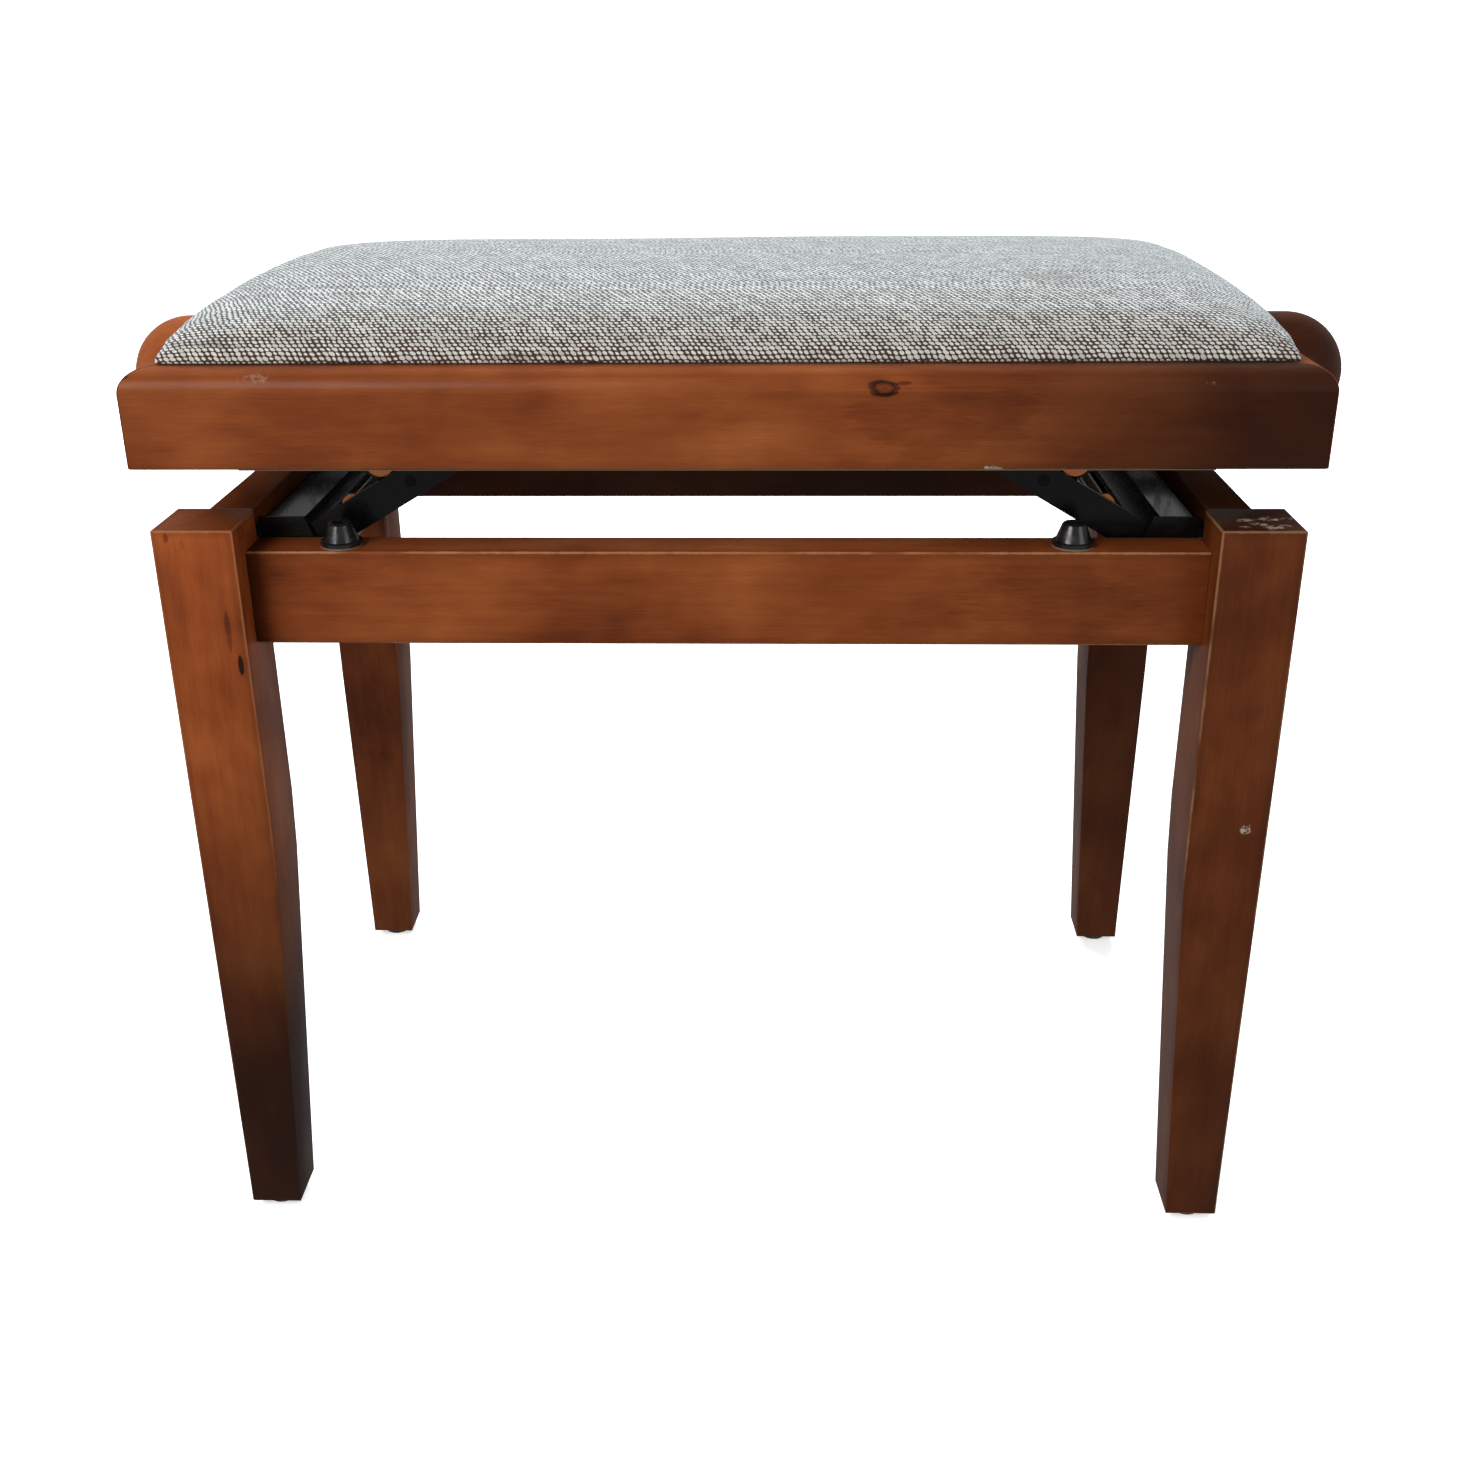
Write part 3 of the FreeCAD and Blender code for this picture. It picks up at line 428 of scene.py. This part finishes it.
def stained_wood(name, grain, low, high, seed=0.0, depth=1.0, rub=1.0, knots=(), scuffs=(),
                 painted_shade_fades=()):
    finish = Finish(name, Coat_Roughness=0.22, Specular_IOR_Level=0.12)
    place = finish.place()
    shifted = place + (seed, seed * 0.7, seed * 1.3)
    clouds, blotch, streaks, pores = grain_patterns(finish, shifted, grain)
    tone = clouds * 0.52 + blotch * 0.26 + streaks * 0.12 + pores * 0.10
    tone = knotted(finish, tone, place, grain, (blotch - 0.5) + (streaks - 0.5), knots)
    # The depth and the fades paint light and shade into the stain's colour.
    colour = with_painted_light_and_shade(finish, finish.ramp(tone, *STAIN), place, depth, painted_shade_fades)
    nearness = corner_nearness(place, low, high)
    crumbs = finish.cloud(shifted, 260, 3, 0.6)
    worn = finish.between(nearness + (crumbs - 0.5) * 0.0012, 0.0013, 0.0005)
    patchy = finish.between(finish.cloud(shifted, 22, 2), 0.36, 0.52)
    colour = finish.mix(worn * patchy * (0.62 * rub), colour, WORN_WOOD)
    dirt = finish.between(nearness, 0.0050, 0.0016) * (1 - worn) * 0.22
    colour = finish.mix(dirt, colour, EDGE_DIRT)
    smear = finish.cloud(shifted + 1.7, 30, 3)
    finish.feed({"Base Color": scuffed(finish, colour, place, grain, crumbs, scuffs),
                 "Roughness": 0.38 + smear * 0.20 + worn * 0.15,
                 "Coat Weight": 0.06 - worn * 0.06})
    grain_height = streaks * 0.6 + pores * 0.5 + clouds * 0.8
    return finish.bump(grain_height, 0.00018, 0.5)


print("stain stops:", len(STAIN))

# %% [markdown]
# ## The marks of use, and painted shade
# Each board has its own marks, given by their place on the bench in metres. A knot has a size, a
# strength, a stretch along the grain and the share of its heart that is pale. A scuff has a size
# and a strength. A fade is painted shade: it darkens a board between two places along one axis,
# towards the bench's right end and the feet of the front legs, on the front legs' top faces, and
# as a painted shadow of the leg at the front apron's left end.

# %% Place the marks
leg_face, rail_face, apron_face, leg_top = -0.1665, -0.1725, -0.1514, 0.405
knots = {
    "front_seat_rail": [((0.0745, rail_face, 0.4735), 0.0062, 1.0, 0.42, 0.75),
                        ((0.0835, rail_face, 0.4762), 0.0032, 0.9, 0.42, 0.0),
                        ((0.1010, rail_face, 0.4600), 0.0300, 0.42, 0.42, 0.0),
                        ((-0.2770, -0.1690, 0.4795), 0.0030, 1.0, 0.42, 0.0)],
    "front_apron": [((0.158, apron_face, 0.3655), 0.030, 0.35, 0.42, 0.0)],
    "front_left_leg": [((-0.2392, leg_face, 0.3362), 0.0026, 1.10, 0.26, 0.0),
                       ((-0.2432, leg_face, 0.3520), 0.0024, 0.60, 0.12, 0.0),
                       ((-0.2675, leg_face, 0.4015), 0.0026, 0.75, 0.60, 0.0),
                       ((-0.2600, leg_face, 0.3985), 0.0020, 0.45, 0.30, 0.0)],
}
scuffs = {
    "front_right_leg": [((0.2498, -0.1468, leg_top), 0.0056, 0.85),
                        ((0.2617, -0.1458, leg_top), 0.0068, 0.95),
                        ((0.2551, -0.1543, leg_top), 0.0050, 0.8),
                        ((0.2595, -0.1605, leg_top), 0.0062, 0.7),
                        ((0.2650, -0.1578, leg_top), 0.0056, 0.7),
                        ((0.2475, -0.1589, leg_top), 0.0034, 0.6),
                        ((0.2714, -0.1448, leg_top), 0.0040, 0.4),
                        ((0.2636, leg_face, 0.2487), 0.0030, 0.8)],
    "front_seat_rail": [((-0.2775, -0.1720, 0.4800), 0.0050, 0.9),
                        ((-0.2140, -0.1700, 0.4790), 0.0048, 0.20),
                        ((0.1244, rail_face, 0.4361), 0.0028, 0.8),
                        ((0.2208, rail_face, 0.4759), 0.0022, 0.5)],
    "front_left_leg": [((-0.2370, -0.1290, leg_top), 0.0045, 0.5)],
}
# Painted shade: each fade darkens the stain where less light falls, and one paints the leg's
# shadow.
painted_shade_fades = {
    "front_seat_rail": [("X", 0.04, 0.27, 0.20)],
    "front_apron": [("X", 0.05, 0.24, 0.84), ("X", -0.222, -0.236, 0.30)],
    "front_left_leg": [("Z", 0.39, 0.07, 0.07), ("Z", 0.4042, 0.4049, 0.55)],
    "front_right_leg": [("Z", 0.32, 0.04, 0.58), ("Z", 0.4042, 0.4049, 0.40)],
}
print("knots:", sum(map(len, knots.values())), "scuffs:", sum(map(len, scuffs.values())))

# %% [markdown]
# ## Staining the boards
# Every board gets its own copy of the finish, with the grain along its length and its own part of
# the noise, so no two look alike. Depth is painted light and shade on the stain: above one a board
# is painted lighter, below one darker, as the rear boards and the inner faces stand in the bench's
# own shade. The ends of aprons and rails are hidden in joints, so their boxes are made longer and
# the wear doesn't show there.

# %% Stain the boards
JOINT_LENGTH = 0.05
# Painted light and shade for each board: above one lighter, below one darker.
painted_light_levels = {"front_left_leg": 1.65, "front_right_leg": 0.55, "rear_left_leg": 0.52,
          "rear_right_leg": 0.36, "rear_apron": 0.22, "left_apron": 0.62, "right_apron": 0.24,
          "front_apron": 1.06}
rubs = {"front_left_leg": 0.45, "front_right_leg": 0.65, "front_apron": 1.0, "rear_apron": 0.6}


def box_of(item):
    points = points_of(item)
    return points.min(axis=0).tolist(), points.max(axis=0).tolist()


for number, (node, board) in enumerate(boards.items()):
    grain = "z" if node in legs else ("x" if "front" in node or "rear" in node else "y")
    low, high = box_of(board)
    if node not in legs:
        end = "xyz".index(grain)
        low[end], high[end] = low[end] - JOINT_LENGTH, high[end] + JOINT_LENGTH
    stained_wood(f"stain_{node}", grain, low, high, seed=0.37 * number,
                 depth=painted_light_levels.get(node, 1.0), rub=rubs.get(node, 0.2),
                 knots=knots.get(node, ()), scuffs=scuffs.get(node, ()),
                 painted_shade_fades=painted_shade_fades.get(node, ())).give(board)
print("stained boards:", len(boards))

# %% [markdown]
# ## Turned knobs
# The knobs are the same wood, turned on a lathe from one block, so the grain runs through the dome
# from side to side. The solid model's shape is right and is kept as it is.

# %% Finish the knobs
# The third number is painted light and shade: the left knob is painted lighter, the right darker.
for side, seed, depth in (("left", 5.0, 1.25), ("right", 6.1, 0.26)):
    knob = nodes[f"{side}_knob"]
    low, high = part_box(f"{side}_knob")
    stained_wood(f"stain_{side}_knob", "x", [v - 0.01 for v in low], [v + 0.01 for v in high],
                 seed=seed, depth=depth, rub=0.0).give(knob)
print("knob radius", round((high[2] - low[2]) / 2, 4))

# %% [markdown]
# ## The cushion's form
# The seat is foam on a board, with the cloth pulled down all round and stapled under the rails'
# inner edge. Foam held like that is nearly flat on top along the bench, falls steeply at the ends
# and swells more softly towards the front. It could be sculpted by hand, but a formula comes out
# the same every time, so a grid of points gets its crown from one. It is then closed with a flat
# base and remeshed evenly, which a cloth simulation needs. The base starts a little low, because
# remeshing rounds its rim off, and is cut flat again afterwards.

# %% Build the crowned form
cushion_low, cushion_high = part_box("cushion")
half_long, half_deep = cushion_high[0], cushion_high[1]
base_z = cushion_low[2]
rise = 0.0278
RIM_HEIGHT, FOOT_DEPTH = 0.0008, 0.005


def crown_height(x, y):
    end = max(0.0, 1 - abs(x / half_long) ** 8) ** (1 / 4)
    side = max(0.0, 1 - abs(y / half_deep) ** 2.6) ** (1 / 2.2)
    return rise * end * side


def crowned_form(name, columns=120, rows=80):
    """A closed skin: a crowned grid, a flat grid under it, and a wall round the rim."""
    xs = [half_long * math.sin(t) for t in np.linspace(-math.pi / 2, math.pi / 2, columns)]
    ys = [half_deep * math.sin(t) for t in np.linspace(-math.pi / 2, math.pi / 2, rows)]
    top = [(x, y, base_z + RIM_HEIGHT + crown_height(x, y)) for x in xs for y in ys]
    foot = [(x, y, base_z - FOOT_DEPTH) for x in xs for y in ys]
    count = len(top)
    faces = []
    for i in range(columns - 1):
        for j in range(rows - 1):
            a, b = i * rows + j, (i + 1) * rows + j
            faces.append((a, b, b + 1, a + 1))
            faces.append((count + a, count + a + 1, count + b + 1, count + b))
    rim = [i * rows for i in range(columns)]
    rim += [(columns - 1) * rows + j for j in range(1, rows)]
    rim += [i * rows + rows - 1 for i in range(columns - 2, -1, -1)]
    rim += [j for j in range(rows - 2, 0, -1)]
    for a, b in zip(rim, rim[1:] + rim[:1]):
        faces.append((a, count + a, count + b, b))
    return mesh_object(name, top + foot, faces)


cushion = crowned_form("cushion_cloth")
print("cushion points:", len(cushion.data.vertices))

# %% [markdown]
# ## Letting the cloth settle
# Pressure inside the closed skin stands for the foam, and the cloth settles against it for twenty
# frames with gravity off. Each point may then move only two millimetres from the formula's place,
# and the stapled edge stays put. That keeps the outline true while the soft unevenness stays.

# %% Inflate and cap
VOXEL = 0.005
STAPLED_HEIGHT = 0.012


def inflate(item, frames):
    cloth = item.modifiers.new("cloth", "CLOTH")
    cloth.settings.use_pressure = True
    cloth.settings.uniform_pressure_force = 4.0
    cloth.settings.effector_weights.gravity = 0.0
    cloth.settings.quality = 5
    cloth.point_cache.frame_start = 1
    cloth.point_cache.frame_end = frames
    for step in range(1, frames + 1):
        bpy.context.scene.frame_set(step)
    apply_modifiers(item)
    bpy.context.scene.frame_set(1)


def settle(item, frames=20, cap=0.002):
    """Remesh and inflate the form, and give back its points with the movement capped."""
    remesh = item.modifiers.new("even", "REMESH")
    remesh.mode = "VOXEL"
    remesh.voxel_size = VOXEL
    apply_modifiers(item)
    start = points_of(item)
    inflate(item, frames)
    moved = points_of(item) - start
    length = np.maximum(np.linalg.norm(moved, axis=1, keepdims=True), 1e-9)
    moved = moved / length * cap * np.tanh(length / cap / 3)
    held = np.clip((start[:, 2] - base_z) / STAPLED_HEIGHT, 0, 1)[:, None]
    return start + moved * held


settled = settle(cushion)
print("settled points:", len(settled))

# %% [markdown]
# ## Tucks and folds
# Where the cloth is pulled over an edge it gathers into small tucks, and at a corner the spare
# cloth lies in two folds that run down to the rail. Both are pressed into the settled points: the
# tucks follow a noise along the lower edge, the folds two fixed angles seen from the corner.

# %% Press in the tucks
TUCK, FOLD, SWELL = 0.0009, 0.0016, 0.0009


def noise_at(x, y, scale, layer):
    return np.array([noise.noise(Vector((a * scale, b * scale, layer))) for a, b in zip(x, y)])


def tucked(points):
    reach_x, reach_y = np.abs(points[:, 0]).max(), np.abs(points[:, 1]).max()
    out = points * (half_long / reach_x, half_deep / reach_y, 1)
    height = (points[:, 2] - base_z) / rise
    low_part = np.clip(1 - height / 0.55, 0, 1)
    x, y = points[:, 0], points[:, 1]
    pull = TUCK * low_part * (0.6 + noise_at(x, y, 26, 0.5))
    front = np.abs(y) / half_deep
    end = np.abs(x) / half_long
    out[:, 1] -= np.sign(y) * pull * np.clip((front - 0.8) * 5, 0, 1)
    out[:, 0] -= np.sign(x) * pull * np.clip((end - 0.85) * 6, 0, 1)
    corner_x, corner_y = half_long - np.abs(x), half_deep - np.abs(y)
    reach = np.hypot(corner_x, corner_y)
    angle = np.arctan2(corner_y, corner_x)
    fold = np.exp(-((angle - 0.62) / 0.13) ** 2) + 0.7 * np.exp(-((angle - 1.05) / 0.12) ** 2)
    out[:, 2] -= FOLD * fold * np.exp(-reach / 0.022) * (height > 0.08)
    out[:, 2] += SWELL * noise_at(x, y, 7, 3.5) * np.clip(height, 0, 1)
    out[:, 2] = np.maximum(out[:, 2], base_z)
    return out


cushion.data.vertices.foreach_set("co", tucked(settled).astype(np.float32).ravel())
cushion.data.update()
smooth(cushion)
finer = cushion.modifiers.new("finer", "SUBSURF")
finer.levels = finer.render_levels = 1
apply_modifiers(cushion)
smooth(cushion)
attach(cushion, "seat")
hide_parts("cushion")
print("cushion top", round(max(v.co.z for v in cushion.data.vertices), 4))

# %% [markdown]
# ## Laying out the weave
# The cloth is a coarse weave of thick pale grey-green yarn over a thin dark brown one. Each pale
# stitch is a slanted oval, and every row is shifted by half a stitch and a little chance, so the
# stitches line up in uneven diagonals. Modelling each thread would take millions of faces, so a
# grid of cells draws them: the position inside a cell gives the oval. The cloth is laid by its own
# length, so stitches don't stretch where the cushion falls away, and a soft wobble keeps the rows
# from being ruled lines.

# %% Lay out the stitches
row_pitch, stitch_pitch = 0.0026, 0.0029
WOBBLE = 0.0024

weave = Finish("woven_tweed", Roughness=0.92, Sheen_Weight=0.45, Sheen_Roughness=0.40,
               Sheen_Tint=(0.80, 0.92, 1.0), Specular_IOR_Level=0.12)
place = weave.place()
x, y, z = place.part("X"), place.part("Y"), place.part("Z")
drop = (base_z + rise + 0.001 - z) * 0.85
ends = weave.between(abs(x), 0.200, 0.245) * weave.between(abs(y), 0.140, 0.105)
sides = weave.between(abs(y), 0.050, 0.100)
sway_across = (weave.cloud(place, 95, 2) - 0.5) * WOBBLE
sway_down = (weave.cloud(place + 2.2, 110, 3) - 0.5) * WOBBLE
across = x + x.apply("SIGN") * ends * drop + sway_across
down = y + y.apply("SIGN") * sides * drop + sway_down
row_place = down / row_pitch
row = row_place.apply("FLOOR")
row_chance = weave.chance(weave.vector(row, 3.0, 1.0)) - 0.5
column_place = across / stitch_pitch + row * 0.5 + row_chance * 0.3
column = column_place.apply("FLOOR")
each = weave.chance(weave.vector(column, row, 0.0))
in_row = row_place.apply("FRACT") - 0.5
slant = column_place.apply("FRACT") - 0.5 + in_row * 0.42
oval = (slant * slant * 1.6 + in_row * in_row * 1.25).apply("SQRT") + (each - 0.5) * 0.26
stitch = weave.between(oval, 0.58, 0.38)
print("stitch pitch", stitch_pitch, "by", row_pitch)

# %% [markdown]
# ## Colouring the yarn
# A cell's number gives each stitch its own shade, and its row and column lend it a little of
# theirs, as one length of yarn runs through many stitches. In some rows the pale yarn is thinner
# and the brown shows in long thin patches. One faint round stain lies right of the middle.

# %% The woven cloth finish
BROWN_STAIN = (0.16, 0.11, 0.075)
by_row = weave.chance(weave.vector(0.0, row, 4.0))
by_column = weave.chance(weave.vector(column, 7.0, 0.0))
pale = weave.ramp(each * 0.45 + by_row * 0.25 + by_column * 0.30,
                  (0.12, (0.56, 0.545, 0.50)), (0.88, (0.86, 0.85, 0.80)))
dark = weave.ramp(each, (0.0, (0.030, 0.015, 0.011)), (1.0, (0.080, 0.045, 0.034)))
streaky = weave.cloud(weave.vector(across * 14.0, down * 150.0, 0.0), 1.0, 3, 0.6)
thin_yarn = weave.between(streaky, 0.56, 0.68)
cloth_colour = weave.mix(stitch * (1 - thin_yarn * 0.34), dark, pale)
stain_edge = (weave.cloud(place, 38, 3) - 0.5) * 0.05
stain_near = weave.distance(place, (0.163, -0.088, 0.509)) + stain_edge
stain = weave.between(stain_near, 0.026, 0.006)
weave.feed({"Base Color": weave.mix(stain * 0.34, cloth_colour, BROWN_STAIN)})
fuzz = weave.cloud(place, 2400, 2)
weave.bump(stitch * 0.85 + fuzz * 0.25, 0.0008, 0.8).give(cushion)
print("finish:", weave.material.name, "nodes:", len(weave.tree.nodes))

# %% [markdown]
# ## Threaded spindle
# The spindle carries a right-hand thread on one side and a left-hand one on the other, so turning
# either knob draws the two nuts together or apart. A coiled strip on a rod would leave ends to
# close. A helix is also a radius that depends on how far along the rod a point is and on its
# angle, so the whole rod can be one skin whose rings follow a triangle wave over the two threads.

# %% Turn the threads
spindle_low, spindle_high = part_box("spindle")
spindle_radius = (spindle_high[2] - spindle_low[2]) / 2
spindle_z = (spindle_high[2] + spindle_low[2]) / 2
PITCH, THREAD_DEPTH = 0.003, 0.0008
THREAD_START, THREAD_END = 0.040, 0.150
ROD_SIDES = 24


def spindle_ring(x):
    threaded = THREAD_START < abs(x) < THREAD_END
    ring = []
    for k in range(ROD_SIDES):
        turn = k / ROD_SIDES
        wave = abs((x / PITCH + math.copysign(turn, x)) % 1.0 - 0.5) * 2
        radius = spindle_radius - (THREAD_DEPTH * (1 - wave) if threaded else 0.0)
        ring.append((x, radius * math.cos(turn * 2 * math.pi),
                     spindle_z + radius * math.sin(turn * 2 * math.pi)))
    return ring


past_end = THREAD_END + 0.001
stations = [spindle_low[0], *np.arange(-past_end, past_end, PITCH / 5), spindle_high[0]]
points = [p for x in stations for p in spindle_ring(x)]
last = (len(stations) - 1) * ROD_SIDES
faces = []
for i in range(0, last, ROD_SIDES):
    for k in range(ROD_SIDES):
        a, b = i + k, i + (k + 1) % ROD_SIDES
        faces.append((a, b, b + ROD_SIDES, a + ROD_SIDES))
faces += [tuple(range(ROD_SIDES - 1, -1, -1)), tuple(last + k for k in range(ROD_SIDES))]
threaded_rod = smooth(mesh_object("threaded_spindle", points, faces))
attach(threaded_rod, "spindle")
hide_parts("spindle")
print("spindle rings:", len(stations))

# %% [markdown]
# ## Black paint
# The arms, links and trays are pressed steel with glossy black paint, thinly dusted. On the upright
# wall of each tray a cold grey band with a ragged lower edge is a painted reflection, brighter
# towards the bottom. The wall and the tray's floor are one piece, so the band is told apart by how
# far out it lies.

# %% Painted steel
WALL_THICKNESS = 0.0021


def pick(*words):
    """The nodes whose names hold any of the words."""
    return [item for name, item in nodes.items() if any(w in name for w in words)]


def black_paint(name, wall=None):
    finish = Finish(name, Coat_Roughness=0.12, Specular_IOR_Level=0.22)
    place = finish.place()
    dust = finish.between(finish.cloud(place, 46, 4, 0.65), 0.50, 0.80)
    specks = finish.between(finish.cloud(place, 900, 2, 0.6), 0.66, 0.74)
    colour = finish.mix(dust * 0.12 + specks * 0.06, (0.0040, 0.0042, 0.0048), (0.10, 0.10, 0.105))
    # A painted reflection: a cold grey band on the tray's wall, brighter towards its bottom.
    if wall:
        side = finish.between(abs(place.part("X")), wall - 0.0006, wall)
        ragged = finish.cloud(place * (1.0, 1.0, 0.2), 75, 3, 0.6) * 0.016
        high = place.part("Z") - ragged
        greying = finish.between(high, 0.3555, 0.3580) * finish.between(high, 0.392, 0.360)
        colour = finish.mix(side * greying * 0.8, colour, (0.040, 0.047, 0.055))
    finish.feed({"Base Color": colour, "Roughness": 0.22 + dust * 0.26,
                 "Coat Weight": 0.12 - dust * 0.1})
    return finish.bump(finish.cloud(place, 420, 3), 0.00012, 0.35)


black_paint("gloss_black_steel").give(*pick("_arm", "web", "_link", "brackets"))
tray_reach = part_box("right_tray")[1][0]
black_paint("black_steel_painted_reflection", tray_reach - WALL_THICKNESS).give(*pick("_tray"))
print("painted pieces:", len(pick("_arm", "web", "_link", "brackets", "_tray")))

# %% [markdown]
# ## Plated metal
# The pins, ties and screws are steel, and the bushes, nuts and the discs on the links are coppery
# brass. Handled metal is never one colour: a cloudy tarnish makes it darker and rougher in places,
# and dust settles on the tarnish. One function makes these from a colour and a roughness. The tie
# rods between two links carry brass discs at their ends, so they have a finish of their own.

# %% Metal finishes
def metal(name, colour, roughness, rough_spread, dust=0.0):
    finish = Finish(name, Metallic=1.0)
    place = finish.place()
    cloudy = finish.cloud(place, 60, 4, 0.6)
    tarnish = finish.between(cloudy, 0.35, 0.70)
    shade = finish.mix(tarnish, tuple(c * 0.72 for c in colour), colour)
    finish.feed({"Base Color": finish.mix(tarnish * dust, shade, (0.30, 0.27, 0.24)),
                 "Roughness": roughness + cloudy * rough_spread})
    return finish.bump(finish.cloud(place, 900, 3), 0.00008, 0.4)


def tie_finish(name, inner):
    """A dark steel rod whose end discs, beyond a given depth, are coppery brass."""
    finish = Finish(name, Metallic=1.0)
    place = finish.place()
    cloudy = finish.cloud(place, 120, 3, 0.6)
    disc = finish.between(abs(place.part("Y")), inner, inner + 0.0004)
    colour = finish.mix(disc, (0.045, 0.045, 0.048), (0.84, 0.27, 0.10))
    finish.feed({"Base Color": finish.mix(cloudy * 0.4, colour, (0.05, 0.03, 0.02)),
                 "Roughness": 0.18 + cloudy * 0.16})
    return finish.bump(cloudy, 0.0001, 0.4)


metal("zinc_plate", (0.62, 0.62, 0.60), 0.24, 0.22, dust=0.15).give(
    *pick("screws", "collars", "cross_bar"), threaded_rod)
metal("blackened_steel", (0.014, 0.014, 0.016), 0.34, 0.20, dust=0.02).give(*pick("pins", "studs"))
metal("coppery_brass", (0.80, 0.30, 0.12), 0.16, 0.16).give(*pick("_bush", "_nut"))
DISC_THICKNESS = 0.0045
tie_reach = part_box("left_link_tie")[1][1]
tie_finish("tie_rod", tie_reach - DISC_THICKNESS).give(*pick("_tie"))
print("tie rods:", len(pick("_tie")), "nuts:", len(pick("_nut")))

# %% [markdown]
# ## Rubber and plastic
# The stops that the seat lands on are shiny black rubber, with a pale line of old glue round the
# foot. The glides under the legs are gritty brown plastic, scratched by the floor.

# %% Rubber and plastic finishes
GLUE_TOP = 0.3910


def rubber(name):
    finish = Finish(name, Specular_IOR_Level=0.6)
    place = finish.place()
    greying = finish.between(finish.cloud(place, 160, 3, 0.6), 0.45, 0.75)
    foot = finish.between(place.part("Z"), GLUE_TOP, GLUE_TOP - 0.0008)
    colour = finish.mix(greying * 0.18, (0.007, 0.007, 0.008), (0.060, 0.060, 0.065))
    finish.feed({"Base Color": finish.mix(foot * 0.7, colour, (0.34, 0.28, 0.23)),
                 "Roughness": 0.20 + greying * 0.22})
    return finish.bump(finish.cloud(place, 700, 2), 0.0001, 0.3)


def foot_plastic(name):
    finish = Finish(name)
    grit = finish.cloud(finish.place(), 500, 3, 0.6)
    colour = finish.mix(finish.between(grit, 0.45, 0.7), (0.030, 0.022, 0.019),
                        (0.11, 0.088, 0.072))
    finish.feed({"Base Color": colour, "Roughness": 0.45 + grit * 0.3})
    return finish.bump(grit, 0.0002, 0.5)


rubber("shiny_rubber").give(*pick("bumper"))
foot_plastic("glide_plastic").give(*pick("glide"))
print("bumpers and glides:", len(pick("bumper", "glide")))

# %% [markdown]
# ## Unstained wood
# The cleats and the seat board are under the seat, and the dowels are inside the joints. Nobody
# looks there, so they were never stained. They are the pale wood itself: streaks and dark pores,
# without lacquer.

# %% Bare wood
def bare_wood(name, grain, colour):
    finish = Finish(name)
    place = finish.place()
    clouds = finish.cloud(place * along(grain, 0.4), 15, 3)
    streaks = finish.cloud(place * along(grain, 0.04), 230, 4, 0.6)
    pores = finish.between(finish.cloud(place * along(grain, 0.03), 1300, 2), 0.60, 0.72)
    tone = clouds * 0.5 + streaks * 0.5
    shade = finish.mix(finish.between(tone, 0.3, 0.7), tuple(c * 0.62 for c in colour), colour)
    finish.feed({"Base Color": finish.mix(pores * 0.4, shade, tuple(c * 0.35 for c in colour)),
                 "Roughness": 0.62 + streaks * 0.2})
    return finish.bump(streaks, 0.0002, 0.5)


bare_wood("bare_pine", "x", (0.56, 0.38, 0.22)).give(*pick("cleat", "dowels"))
bare_wood("bare_plywood", "x", (0.60, 0.44, 0.28)).give(*pick("seat_board"))
print("bare pieces:", len(pick("cleat", "dowels", "seat_board")))
